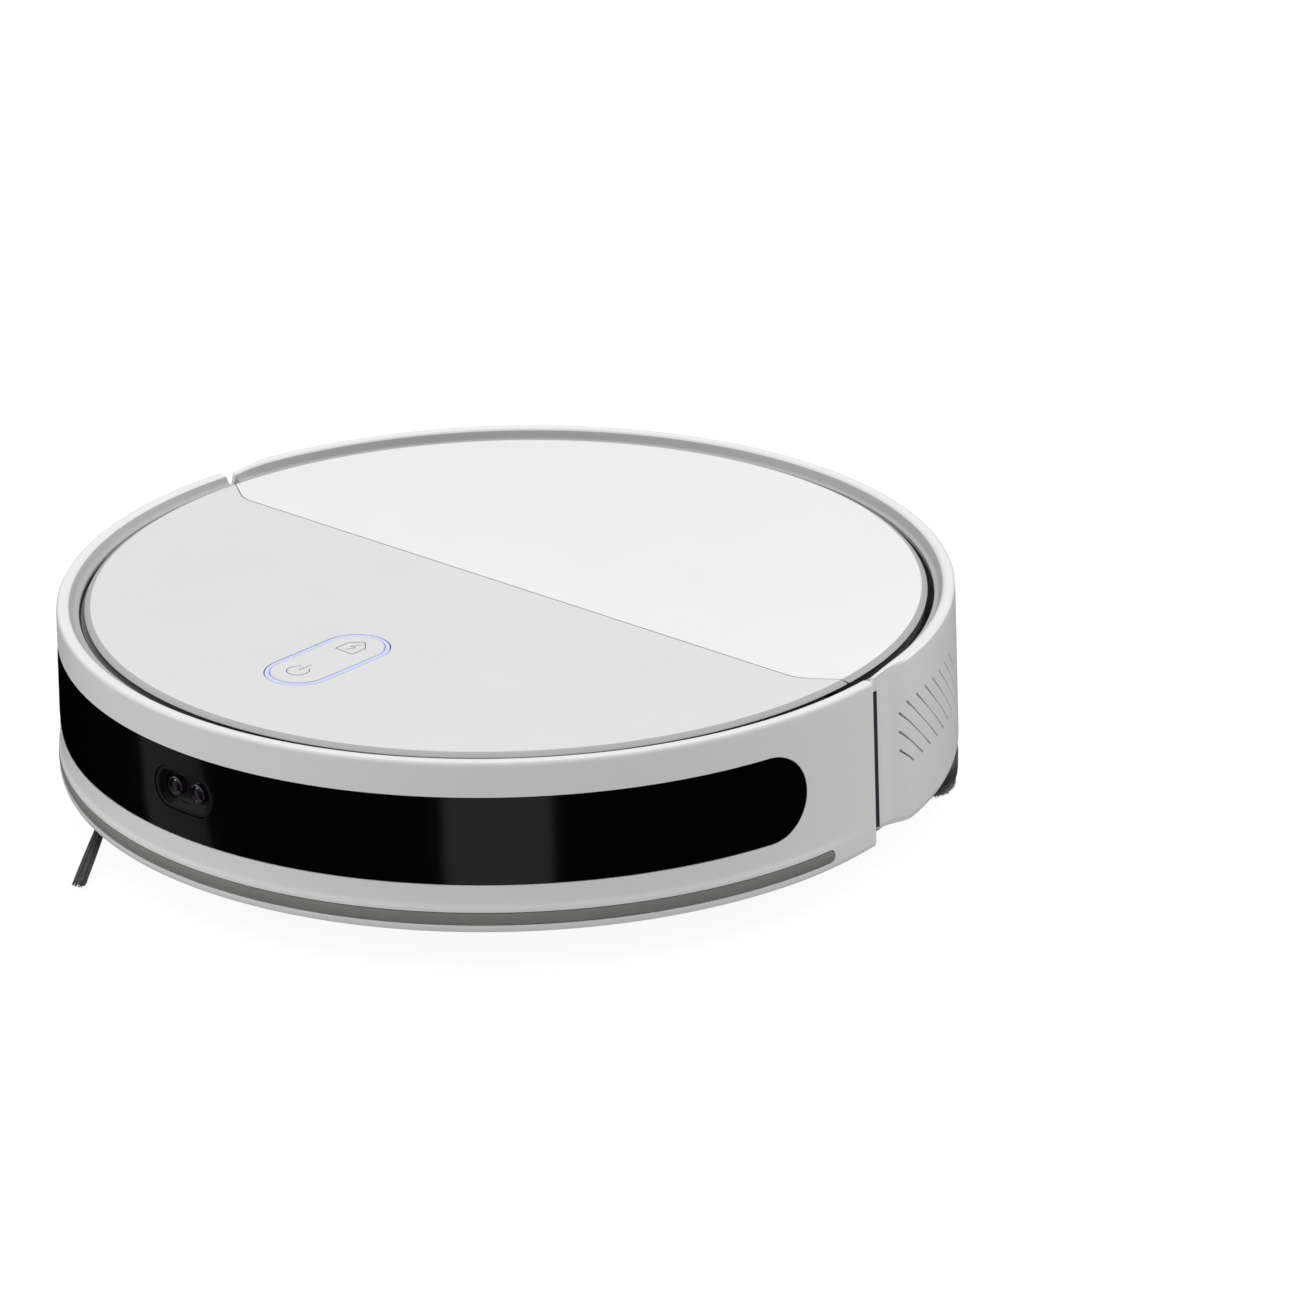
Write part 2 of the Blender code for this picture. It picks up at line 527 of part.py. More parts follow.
# the bay's top plate is cut away at the back, where the lid's rear edge swings down between two hinge posts
boolean(bay, [box("lid_swing_room", (-62, 134.2, 60), (62, 160, 80), helper=True)])
hinge_posts = []
for i, x in enumerate((46.2, -46.2)):
    hinge_posts.append(loft(
        f"hinge_post_{i}",
        [[(xx, y, z) for y, z in arc(1.7, 0, 180, 9, *LID_AXIS) + [(LID_AXIS[0] - 1.7, 69.6), (131.2, 68.8), (131.2, 66.4), (LID_AXIS[0] + 1.7, 66.4)]]
         for xx in (x - 2.2, x + 2.2)], helper=True))
boolean(bay, [bay_block] + hinge_posts, "UNION")
boolean(bay, [
    bay_inner,
    box("bay_inlet", (-41.5, 40, 28), (41.5, 52, 40.5), helper=True),
    box("bay_outlet", (60, 66, 36), (75, 104, 60), helper=True),
    rod("hinge_bores", (0, *LID_AXIS), 1.05, 110, "X", helper=True, segments=20),
])

bin_body = plate("bin_body", [rect(X0, X1, Y0, Y1, 8, 6)], ZB, 60.0, "bin_smoke")
boolean(bin_body, [
    plate("bin_inner", [rect(X0 + 1.8, X1 - 1.8, Y0 + 1.8, Y1 - 1.8, 6.2, 6)], ZB + 1.8, 70, helper=True),
    box("bin_inlet", (-38, 45, 29), (38, 55, 40), helper=True),
    box("bin_outlet", (60, 70, 34), (70, 100, 56), helper=True),
])
bin_cover = plate("bin_cover", [rect(X0, X1, Y0, Y1, 8, 6)], 60.3, 64.0, "inner_grey")
boolean(bin_cover, [plate("cover_cut", [rect(X0 + 2, X1 - 2, Y0 + 2, Y1 - 2, 6, 6)], 55.0, 62.4, helper=True)])
box("filter_frame", (X1 - 6.6, 69.6, 33.6), (X1 - 2.2, 100.4, 56.4), "inner_grey", bevel=0.5)
boolean(bpy.data.objects["filter_frame"], [box("filter_hole", (50, 72, 36), (80, 98, 54), helper=True)])
box("filter_media", (X1 - 6.2, 72.3, 36.3), (X1 - 2.6, 97.7, 53.7), "filter_white")
handle = box("bin_handle", (-36.0, 84.5, 64.3), (36.0, 95.5, 72.0), "inner_grey", bevel=0.8)
boolean(handle, [box("finger_gap", (-30.5, 80.0, 60.0), (30.5, 100.0, 69.7), helper=True)])

# ---------------------------------------------------------------- wheels
for side, sign in (("left", 1), ("right", -1)):
    def sx(value):
        return sign * value
    x0, x1 = sorted((sx(88.6), sx(94.6)))
    arm = loft(
        f"wheel_arm_{side}",
        [[(x, y, z) for y, z in arc(11, 90, 270, 9, *ARM_PIVOT) + arc(15, -90, 90, 11, 0, WHEEL_Z)] for x in (x0, x1)],
        "inner_grey")
    can = rod(f"can_{side}", (sx(80.5), *ARM_PIVOT), 9.5, 19, "X", helper=True, segments=28)
    stub = rod(f"stub_{side}", (sx(103), 0, WHEEL_Z), 3.0, 20, "X", helper=True, segments=20)
    boolean(arm, [can, stub], "UNION")
    half = (WHEEL_X1 - WHEEL_X0) / 2
    mid = (WHEEL_X1 + WHEEL_X0) / 2
    tyre_profile = [(WHEEL_R - 1.5, half), (WHEEL_R, half - 1.6), (WHEEL_R, -half + 1.6), (WHEEL_R - 1.5, -half), (27.0, -half), (27.0, half)]
    tyre = lathe(f"tyre_{side}", tyre_profile, (0, WHEEL_Z), "tyre_black", segments=36, axis="X", along=sx(mid))
    hub_profile = [(26.7, half - 1.0), (26.7, -half + 1.0), (3.25, -half + 1.0), (3.25, half - 4.0), (9.0, half - 4.0), (12.0, half - 4.0), (22.0, half - 3.2), (24.5, half - 1.0)]
    if sign < 0:
        hub_profile = [(r, -z) for r, z in hub_profile][::-1]
    lathe(f"wheel_hub_{side}", hub_profile, (0, WHEEL_Z), "strip_grey", segments=24, axis="X", along=sx(mid))

# ---------------------------------------------------------------- caster
CX, CY = CASTER
lathe("caster_socket", [(20.0, 36.0), (20.0, 15.3), (17.6, 15.3), (17.6, 33.5), (3.4, 33.5), (3.4, 36.0)], CASTER, "inner_grey", segments=24)
fork = lathe("caster_fork", [(0, 35.0), (2.9, 35.0), (2.9, 31.0), (8.0, 31.0), (15.0, 25.0), (16.4, 18.0), (16.4, 11.5), (14.5, 6.0), (0, 6.0)], CASTER, "base_dark", segments=24)
boolean(fork, [
    box("fork_slot", (CX - 6.6, CY - 6.4, 0), (CX + 6.6, CY + 20, 19.5), helper=True),
    rod("fork_bore", (CX, CY + 3.6, 9.0), 1.7, 40.0, "X", helper=True, segments=16),
])
WR = 9.0
roll = lathe("caster_wheel", [(0, 6.2), (WR - 1.5, 6.2), (WR, 4.4), (WR, -4.4), (WR - 1.5, -6.2), (0, -6.2)], (CY + 3.6, WR), "tyre_black", segments=28, axis="X", along=0.0)
boolean(roll, [rod("caster_axle", (CX, CY + 3.6, WR), 1.35, 24.0, "X", helper=True, segments=16)], "UNION")

# ---------------------------------------------------------------- side brush
BX, BY = SIDE_BRUSH
hub = lathe("side_brush_hub", [(0, 22.0), (2.9, 22.0), (2.9, 12.0), (12.0, 11.0), (13.0, 8.5), (11.0, 5.6), (3.2, 5.2), (3.2, 9.0), (0, 9.0)], SIDE_BRUSH, "brush_rubber", segments=24)
for tag, deg in (("a", -54.0), ("b", 126.0)):
    c, s = math.cos(math.radians(deg)), math.sin(math.radians(deg))
    socket = loft(
        f"tuft_socket_{tag}",
        [[(BX + c * u - s * v, BY + s * u + c * v, z) for v, z in ((-3.4, z0 - 1.8), (3.4, z0 - 1.8), (3.4, z0 + 1.6), (-3.4, z0 + 1.6))]
         for u, z0 in ((6.0, 8.2), (24.0, 7.0))], helper=True)
    boolean(hub, [socket], "UNION")
    loft(
        f"bristle_tuft_{tag}",
        [[(BX + c * u - s * v, BY + s * u + c * v, z) for v, z in ((-w, z0 - t), (w, z0 - t), (w, z0 + t), (-w, z0 + t))]
         for u, z0, w, t in ((24.3, 6.9, 2.6, 1.3), (40, 5.9, 2.7, 1.2), (58, 4.2, 2.8, 1.1), (76.6, 2.2, 2.9, 1.0))],
        "bristle_dark")
rod("side_brush_screw", (BX, BY, 7.2), 2.8, 2.8, "Z", "steel", segments=20)

# ---------------------------------------------------------------- mop plate
def mop_outline(radius, front, corner):
    """Rear disc segment: round rim at the back, straight front edge, rounded front corners."""
    cy = front + corner
    cx = math.sqrt((radius - corner) ** 2 - cy ** 2)
    turn = math.degrees(math.atan2(cy, cx))
    right = arc(corner, -90, turn, 9, cx, cy)
    rim_pts = arc(radius, turn, 180 - turn, 41)[1:-1]
    left = [(-x, y) for x, y in reversed(right)]
    return right + rim_pts + left


loft("mop_plate", [[(x, y, z) for x, y in mop_outline(r, f, 13)] for r, f, z in
                   ((161.6, 73.4, 11.9), (163.0, 72.0, 10.6), (163.0, 72.0, 6.2), (161.8, 73.2, 5.0))], "base_dark")
loft("mop_cloth", [[(x, y, z) for x, y in mop_outline(r, f, 13)] for r, f, z in
                   ((161.6, 73.4, 4.7), (162.6, 72.4, 3.6), (162.4, 72.6, 1.6), (160.4, 74.6, 0.5))], "cloth_dark")

# ---------------------------------------------------------------- bump switches behind the bumper
for side, x in (("left", 70.0), ("right", -70.0)):
    y = -math.sqrt(151.2 ** 2 - 76.5 ** 2)
    box("bump_switch_" + side, (x - 6, y + 0.3, 24), (x + 6, y + 9.3, 34), "base_dark")

# ---------------------------------------------------------------- joints: empties on their axes
Y_OFFSET = 4.3152       # puts the middle of the overall box, side brush included, on the origin


def pivot(name, pos, children):
    """An empty on a joint's axis, with the pieces that move about it parented to it."""
    empty = bpy.data.objects.new(name, None)
    empty.empty_display_size = 0.01
    parts.objects.link(empty)
    empty.location = Vector(pos) * MM
    for child in children:
        obj = bpy.data.objects[child] if isinstance(child, str) else child
        obj.parent = empty
        obj.matrix_parent_inverse = Matrix.Translation(-empty.location)
    return empty


pivots = [
    pivot("bumper_press", (0, -160, 48), ["bumper_shell", "ir_window", "bump_strip", "port_bezel", "laser_lens_left", "laser_lens_right"]),
    pivot("lid_hinge", (0, *LID_AXIS), ["rear_lid"]),
    pivot("bin_lift", (0, 90, 24), ["bin_body", "bin_cover", "bin_handle", "filter_frame", "filter_media"]),
    pivot("button_rock", (0, PILL_Y, 73), ["control_rocker"]),
    pivot("impeller_spin", (*FAN, 26), ["impeller"]),
    pivot("caster_swivel", (*CASTER, 20), ["caster_fork", "caster_wheel"]),
    pivot("side_brush_spin", (*SIDE_BRUSH, 8), ["side_brush_hub", "bristle_tuft_a", "bristle_tuft_b", "side_brush_screw"]),
    pivot("main_brush_spin", (0, BRUSH_Y, BRUSH_Z), ["main_brush_roller"]),
    pivot("guard_hinge", (0, 37.6, 10.9), ["brush_guard"]),
    pivot("mop_slide", (0, 120, 5), ["mop_plate", "mop_cloth"]),
]
for side, sign in (("left", 1), ("right", -1)):
    spin = pivot("wheel_spin_" + side, (sign * 106, 0, WHEEL_Z), ["tyre_" + side, "wheel_hub_" + side])
    pivots.append(pivot("suspension_" + side, (sign * 90, *ARM_PIVOT), ["wheel_arm_" + side, spin]))
body = pivot("vacuum_frame", (0, 0, 0), [])
bpy.context.view_layer.update()
body.location = (0.0, Y_OFFSET * MM, 0.0)
for obj in list(parts.objects) + list(cutters.objects):
    if obj.parent is None and obj is not body:
        obj.parent = body
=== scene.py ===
"""Looks of the round robot vacuum: fine shells, glossy window, bristles, treads, cloth and procedural materials.

Lengths in the helpers are millimetres in the robot's own frame, with its centre at (0, 0) and its front towards -Y.
place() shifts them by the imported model's own offset.
"""

import json
import math
import random

import bmesh
import bpy
import numpy as np
from mathutils import Matrix, Vector


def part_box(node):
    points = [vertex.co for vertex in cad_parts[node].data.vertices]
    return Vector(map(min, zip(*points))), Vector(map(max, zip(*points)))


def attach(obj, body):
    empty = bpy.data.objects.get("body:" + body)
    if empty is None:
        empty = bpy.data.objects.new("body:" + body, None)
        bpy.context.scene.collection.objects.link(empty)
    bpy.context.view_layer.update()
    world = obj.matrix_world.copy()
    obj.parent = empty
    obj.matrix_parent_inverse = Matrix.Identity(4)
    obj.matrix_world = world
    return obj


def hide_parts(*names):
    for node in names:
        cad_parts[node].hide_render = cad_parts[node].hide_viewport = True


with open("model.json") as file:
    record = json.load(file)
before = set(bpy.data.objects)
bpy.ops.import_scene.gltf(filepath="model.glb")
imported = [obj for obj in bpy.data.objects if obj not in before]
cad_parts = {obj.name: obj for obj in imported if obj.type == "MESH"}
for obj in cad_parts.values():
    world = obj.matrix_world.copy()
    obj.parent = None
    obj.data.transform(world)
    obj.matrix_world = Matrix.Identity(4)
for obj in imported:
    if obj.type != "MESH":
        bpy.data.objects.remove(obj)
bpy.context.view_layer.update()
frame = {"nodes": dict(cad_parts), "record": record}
NODES = frame["nodes"]
MM = 0.001
# The contact plates' outer faces are 162.3 mm behind the robot's centre, which gives the shift along Y.
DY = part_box("charge_contact_left")[1].y / MM - 162.3
PIECES = []

R_DECK, R_SKIRT = 149.7, 151.5
Z_DECK, Z_CREST, Z_CREST_R = 75.0, 76.3, 77.2
R_TOP, R_LOW, R_LIP = 161.5, 163.1, 163.8
Z_BUMPER, Z_REAR, A_END = 14.9, 16.0, 4.0
BRUSH_Y, BRUSH_Z, BRUSH_R = 10.0, 21.0, 18.3
SIDE_BRUSH = (-93.0, -108.0)
LID_AXIS = (139.0, 71.4)
PILL_Y, PILL_R, PILL_HALF = -91.0, 10.6, 13.2
WHEEL_R, WHEEL_Z = 33.0, 33.0


# ---------------------------------------------------------------- materials
def node(tree, kind, x=0, y=0, **values):
    made = tree.nodes.new(kind)
    made.location = (x, y)
    for key, value in values.items():
        setattr(made, key, value)
    return made


def surface(
    name, rgb, rough=0.4, metal=0.0, grain=2400.0, grain_depth=0.012, grain_strength=0.35,
    vary=0.03, vary_scale=28.0, rough_vary=0.05, stretch=(1, 1, 1), coat=0.0, coat_rough=0.08, specular=0.5,
    sheen=0.0, emission=None, emission_strength=0.0, transmission=0.0, subsurface=0.0, dust=0.0, detail=3.0,
):
    """A moulded, turned or woven surface: broad colour and gloss variation, and a fine grain as bump."""
    made = bpy.data.materials.new(name)
    made.use_nodes = True
    tree = made.node_tree
    shader = tree.nodes["Principled BSDF"]
    coord = node(tree, "ShaderNodeTexCoord", -1300, 0)
    mapping = node(tree, "ShaderNodeMapping", -1120, 0)
    mapping.inputs["Scale"].default_value = stretch
    tree.links.new(coord.outputs["Object"], mapping.inputs["Vector"])
    broad = node(tree, "ShaderNodeTexNoise", -900, 200)
    broad.inputs["Scale"].default_value = vary_scale
    broad.inputs["Detail"].default_value = 4.0
    broad.inputs["Roughness"].default_value = 0.6
    tree.links.new(coord.outputs["Object"], broad.inputs["Vector"])
    ramp = node(tree, "ShaderNodeValToRGB", -650, 200)
    ramp.color_ramp.elements[0].position = 0.3
    ramp.color_ramp.elements[1].position = 0.7
    ramp.color_ramp.elements[0].color = (*[max(0.0, c * (1 - vary)) for c in rgb], 1)
    ramp.color_ramp.elements[1].color = (*[min(1.0, c * (1 + vary)) for c in rgb], 1)
    tree.links.new(broad.outputs["Fac"], ramp.inputs["Fac"])
    colour = ramp.outputs["Color"]
    fine = node(tree, "ShaderNodeTexNoise", -900, -200)
    fine.inputs["Scale"].default_value = grain
    fine.inputs["Detail"].default_value = detail
    tree.links.new(mapping.outputs["Vector"], fine.inputs["Vector"])
    if dust:
        speck = node(tree, "ShaderNodeValToRGB", -650, -40)
        speck.color_ramp.elements[0].position = 0.55
        speck.color_ramp.elements[1].position = 0.8
        speck.color_ramp.elements[0].color = (0, 0, 0, 1)
        speck.color_ramp.elements[1].color = (dust, dust, dust, 1)
        tree.links.new(fine.outputs["Fac"], speck.inputs["Fac"])
        mix = node(tree, "ShaderNodeMix", -380, 160, data_type="RGBA", blend_type="ADD")
        mix.inputs["Factor"].default_value = 1.0
        tree.links.new(colour, mix.inputs["A"])
        tree.links.new(speck.outputs["Color"], mix.inputs["B"])
        colour = mix.outputs["Result"]
    tree.links.new(colour, shader.inputs["Base Color"])
    gloss = node(tree, "ShaderNodeMapRange", -650, -320)
    gloss.inputs["To Min"].default_value = max(0.02, rough - rough_vary)
    gloss.inputs["To Max"].default_value = min(1.0, rough + rough_vary)
    tree.links.new(broad.outputs["Fac"], gloss.inputs["Value"])
    tree.links.new(gloss.outputs["Result"], shader.inputs["Roughness"])
    bump = node(tree, "ShaderNodeBump", -380, -420)
    bump.inputs["Strength"].default_value = grain_strength
    bump.inputs["Distance"].default_value = grain_depth * MM
    tree.links.new(fine.outputs["Fac"], bump.inputs["Height"])
    tree.links.new(bump.outputs["Normal"], shader.inputs["Normal"])
    shader.inputs["Metallic"].default_value = metal
    shader.inputs["Specular IOR Level"].default_value = specular
    shader.inputs["Coat Weight"].default_value = coat
    shader.inputs["Coat Roughness"].default_value = coat_rough
    shader.inputs["Sheen Weight"].default_value = sheen
    shader.inputs["Transmission Weight"].default_value = transmission
    shader.inputs["Subsurface Weight"].default_value = subsurface
    shader.inputs["Subsurface Scale"].default_value = 0.002
    if emission:
        shader.inputs["Emission Color"].default_value = (*emission, 1)
        shader.inputs["Emission Strength"].default_value = emission_strength
    return made


M = {
    "shell": surface("shell_finish", (0.80, 0.80, 0.795), 0.36, coat=0.15, coat_rough=0.2, vary=0.01, grain=3000, grain_depth=0.006, subsurface=0.03),
    # mid grey for the inner walls of the rims: painted shade for the shade these walls fall in; they are the same white
    # moulding as the shell
    "rim_inner": surface("rim_painted_shade_finish", (0.44, 0.44, 0.44), 0.5, vary=0.015, grain=3000, grain_depth=0.006),
    "deck": surface("deck_finish", (0.70, 0.70, 0.70), 0.42, coat=0.08, coat_rough=0.3, vary=0.008, grain=3600, grain_depth=0.005, dust=0.008),
    # darker grey for the bevelled edges of the deck and the lid: painted shade on these edges, which are the same
    # mouldings as the flat tops
    "deck_edge": surface("disc_bevel_painted_shade_finish", (0.42, 0.43, 0.425), 0.4, vary=0.01, grain=3600, grain_depth=0.004),
    "lid": surface("lid_finish", (0.86, 0.86, 0.86), 0.24, coat=0.5, coat_rough=0.06, vary=0.006, grain=3200, grain_depth=0.003),
    "window": surface("window_finish", (0.0014, 0.0014, 0.0016), 0.12, vary=0.1, rough_vary=0.02, grain=900, grain_depth=0.002, grain_strength=0.1, specular=0.4, coat=0.6, coat_rough=0.11),
    "port": surface("port_finish", (0.008, 0.008, 0.009), 0.3, vary=0.1, grain=3000, grain_depth=0.01),
    "lens": surface("lens_finish", (0.01, 0.006, 0.012), 0.05, vary=0.1, rough_vary=0.01, grain=600, grain_depth=0.001, specular=0.6, coat=1.0, coat_rough=0.02),
    "strip": surface("strip_finish", (0.225, 0.225, 0.215), 0.55, vary=0.03, grain=2600, grain_depth=0.012),
    "dark": surface("dark_moulding_finish", (0.040, 0.040, 0.042), 0.62, vary=0.15, grain=1700, grain_depth=0.05, grain_strength=0.6, dust=0.012),
    "inner": surface("inner_moulding_finish", (0.16, 0.16, 0.168), 0.6, vary=0.06, grain=2000, grain_depth=0.03, grain_strength=0.5, dust=0.02),
    "tyre": surface("tyre_finish", (0.034, 0.034, 0.035), 0.82, vary=0.2, grain=1400, grain_depth=0.06, grain_strength=0.6, dust=0.02),
    "bristle": surface("bristle_finish", (0.085, 0.085, 0.088), 0.55, vary=0.3, vary_scale=300, grain=4000, grain_depth=0.01, sheen=0.2),
    "rubber": surface("brush_rubber_finish", (0.075, 0.10, 0.15), 0.68, vary=0.1, grain=1800, grain_depth=0.03),
    "cloth": surface("mop_cloth_finish", (0.045, 0.045, 0.05), 0.95, vary=0.25, vary_scale=160, grain=1100, grain_depth=0.35, grain_strength=1.0, sheen=0.6, dust=0.04),
    "board": surface("circuit_board_finish", (0.012, 0.09, 0.045), 0.35, vary=0.2, vary_scale=400, grain=900, grain_depth=0.02, coat=0.4),
    "wrap": surface("battery_wrap_finish", (0.03, 0.055, 0.16), 0.3, vary=0.1, grain=500, grain_depth=0.05, grain_strength=0.6, coat=0.3),
    "steel": surface("plated_steel_finish", (0.66, 0.66, 0.68), 0.42, metal=0.7, vary=0.08, vary_scale=200, rough_vary=0.1, grain=2500, stretch=(0.08, 1, 1), grain_depth=0.01),
    "motor": surface("motor_can_finish", (0.45, 0.45, 0.46), 0.36, metal=0.9, vary=0.1, grain=2200, stretch=(1, 1, 0.1), grain_depth=0.012),
    "smoke": surface("bin_smoke_finish", (0.10, 0.10, 0.11), 0.14, vary=0.05, rough_vary=0.04, grain=900, grain_depth=0.006, transmission=0.6, coat=0.4),
    "paper": surface("filter_paper_finish", (0.80, 0.79, 0.74), 0.95, vary=0.06, vary_scale=220, grain=2600, grain_depth=0.06, grain_strength=0.8),
    "glow": surface("light_ring_finish", (0.50, 0.53, 0.78), 0.25, vary=0.02, grain=1500, grain_depth=0.004, emission=(0.50, 0.56, 1.0), emission_strength=0.22),
    # near-black for the groove round the button and the side gaps: painted shade in these recesses
    "groove": surface("gap_painted_shade_finish", (0.03, 0.03, 0.045), 0.5, vary=0.1, grain=2400, grain_depth=0.006),
    "mark": surface("icon_finish", (0.10, 0.10, 0.10), 0.5, vary=0.05, grain=3000, grain_depth=0.004),
}


# ---------------------------------------------------------------- making and placing
def place(name, mesh, materials, body, stands_for=(), sharp=32.0, smooth_faces=True):
    obj = bpy.data.objects.new(name, mesh)
    bpy.context.scene.collection.objects.link(obj)
    mesh.transform(Matrix.Translation((0, DY * MM, 0)))
    indices = np.zeros(len(mesh.polygons), np.int32)
    mesh.polygons.foreach_get("material_index", indices)
    mesh.materials.clear()
    keys = [materials] if isinstance(materials, str) else materials
    for key in keys:
        mesh.materials.append(M[key])
    mesh.polygons.foreach_set("material_index", np.minimum(indices, len(keys) - 1).astype(np.int32))
    if smooth_faces:
        mesh.shade_smooth()
        mesh.set_sharp_from_angle(angle=math.radians(sharp))
    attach(obj, body)
    if stands_for:
        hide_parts(*([stands_for] if isinstance(stands_for, str) else stands_for))
    PIECES.append(obj)
    return obj


def finished(bm, name, weld=1e-6):
    if weld:
        bmesh.ops.remove_doubles(bm, verts=bm.verts, dist=weld)
    bmesh.ops.recalc_face_normals(bm, faces=bm.faces)
    mesh = bpy.data.meshes.new(name)
    bm.to_mesh(mesh)
    bm.free()
    return mesh


def loft_mesh(name, sections, caps=True, closed=False, shade=None, scale=MM):
    """Skins closed sections. shade(i) gives the material index of the strip that starts at section point i."""
    bm = bmesh.new()
    rings = [[bm.verts.new(Vector(p) * scale) for p in section] for section in sections]
    count = len(sections[0])
    pairs = list(zip(rings, rings[1:])) + ([(rings[-1], rings[0])] if closed else [])
    for a, b in pairs:
        for i in range(count):
            j = (i + 1) % count
            face = bm.faces.new((a[i], a[j], b[j], b[i]))
            if shade:
                face.material_index = shade(i)
    if caps and not closed:
        bm.faces.new(rings[0][::-1])
        bm.faces.new(rings[-1])
    return finished(bm, name)


def box_mesh(name, lo, hi, bevel=0.0, segments=3):
    bm = bmesh.new()
    bmesh.ops.create_cube(bm, size=1.0)
    lo, hi = Vector(lo) * MM, Vector(hi) * MM
    bmesh.ops.scale(bm, vec=hi - lo, verts=bm.verts)
    bmesh.ops.translate(bm, vec=(hi + lo) / 2, verts=bm.verts)
    if bevel:
        bmesh.ops.bevel(bm, geom=list(bm.edges), offset=bevel * MM, segments=segments, affect="EDGES", profile=0.5)
    return finished(bm, name, 0)


def turn_mesh(name, profile, centre, axis="Z", segments=96, shade=None, flute=None):
    """A profile of (radius, height along the axis) turned round the axis through centre."""
    bm = bmesh.new()
    rings = []
    for k in range(segments):
        a = 2 * math.pi * k / segments
        ring = []
        for i, (r, h) in enumerate(profile):
            rr = r + (flute(k, i, r) if flute else 0.0)
            u, v = rr * math.cos(a), rr * math.sin(a)
            p = (u, v, h) if axis == "Z" else (h, u, v) if axis == "X" else (v, h, u)
            ring.append(bm.verts.new((Vector(p) + Vector(centre)) * MM))
        rings.append(ring)
    count = len(profile)
    closed = profile[0][0] > 1e-6 and profile[-1][0] > 1e-6
    for k in range(segments):
        a, b = rings[k], rings[(k + 1) % segments]
        for i in range(count if closed else count - 1):
            j = (i + 1) % count
            try:
                face = bm.faces.new((a[i], a[j], b[j], b[i]))
            except ValueError:
                continue
            if shade:
                face.material_index = shade(i)
    bmesh.ops.remove_doubles(bm, verts=bm.verts, dist=1e-7)
    return finished(bm, name, 1e-7)


def cut(obj_mesh, cutters, name="cut", solver="EXACT"):
    """The mesh with the cutters' meshes taken away, as an exact Boolean."""
    # the second slot holds the rim's painted shade, so that index 1 keeps its material through the Boolean
    while len(obj_mesh.materials) < 2:
        obj_mesh.materials.append(M["shell" if not obj_mesh.materials else "rim_inner"])
    target = bpy.data.objects.new(name, obj_mesh)
    bpy.context.scene.collection.objects.link(target)
    made = []
    for mesh in cutters:
        tool = bpy.data.objects.new("tool", mesh)
        bpy.context.scene.collection.objects.link(tool)
        made.append(tool)
        step = target.modifiers.new("cut", "BOOLEAN")
        step.operation, step.solver, step.object = "DIFFERENCE", solver, tool
    graph = bpy.context.evaluated_depsgraph_get()
    result = bpy.data.meshes.new_from_object(target.evaluated_get(graph))
    for tool in made + [target]:
        bpy.data.objects.remove(tool, do_unlink=True)
    return result


def arc(radius, a0, a1, count, cx=0.0, cy=0.0):
    return [(cx + radius * math.cos(math.radians(a)), cy + radius * math.sin(math.radians(a))) for a in np.linspace(a0, a1, count)]


def pill(radius, cy=PILL_Y, half=PILL_HALF, n=28):
    return arc(radius, 0, 180, n, 0, cy + half) + arc(radius, 180, 360, n, 0, cy - half)


def at(radius, degrees, z):
    a = math.radians(degrees)
    return (radius * math.cos(a), radius * math.sin(a), z)


def smooth(t):
    t = min(max(t, 0.0), 1.0)
    return t * t * (3 - 2 * t)


def wall_r(z):
    return R_TOP + (R_LOW - R_TOP) * (74.0 - z) / (74.0 - 16.0)


def parting(x):
    w = 1.5
    return 0.68 * w * math.log1p(math.exp((abs(x) - 136.3) / w))


def rounded(points, radii, n=4):
    """The closed polygon with each corner cut back by its radius and rounded. Returns points and the index each came from."""
    out, source = [], []
    count = len(points)
    for i, p in enumerate(points):
        r = radii[i]
        p = Vector((p[0], p[1]))
        a = Vector(points[i - 1][:2]) - p
        b = Vector(points[(i + 1) % count][:2]) - p
        r = min(r, 0.45 * a.length, 0.45 * b.length)
        if r <= 1e-6:
            out.append((p.x, p.y))
            source.append(i)
            continue
        s, e = p + a.normalized() * r, p + b.normalized() * r
        for k in range(n + 1):
            t = k / n
            q = s * (1 - t) ** 2 + p * 2 * t * (1 - t) + e * t ** 2
            out.append((q.x, q.y))
            source.append(i)
    return out, source


def band_mesh(name, outline, r_out, r_in, depth_rows=1):
    """A curved panel from an outline of (degrees, z): lower edge, then back along the upper edge, with facing points."""
    bm = bmesh.new()
    count = len(outline)
    half = count // 2
    outer = [bm.verts.new(Vector(at(r_out(z), a, z)) * MM) for a, z in outline]
    inner = [bm.verts.new(Vector(at(r_in(z), a, z)) * MM) for a, z in outline]
    rows = 6
    cross = {}
    for i in range(half):
        (a0, z0), (a1, z1) = outline[i], outline[count - 1 - i]
        column = [outer[i]]
        for k in range(1, rows):
            t = k / rows
            a, z = a0 + (a1 - a0) * t, z0 + (z1 - z0) * t
            column.append(bm.verts.new(Vector(at(r_out(z), a, z)) * MM) if abs(z1 - z0) > 1e-6 else outer[i])
        column.append(outer[count - 1 - i])
        cross[i] = column
    for i in range(half - 1):
        for k in range(rows):
            ring = [cross[i][k], cross[i + 1][k], cross[i + 1][k + 1], cross[i][k + 1]]
            unique = [v for n, v in enumerate(ring) if v not in ring[:n]]
            if len(unique) > 2:
                try:
                    bm.faces.new(unique)
                except ValueError:
                    pass
        bm.faces.new((inner[count - 1 - i], inner[count - 2 - i], inner[i + 1], inner[i]))
    for i in range(count):
        j = (i + 1) % count
        try:
            bm.faces.new((outer[j], outer[i], inner[i], inner[j]))
        except ValueError:
            pass
    return finished(bm, name, 1e-7)


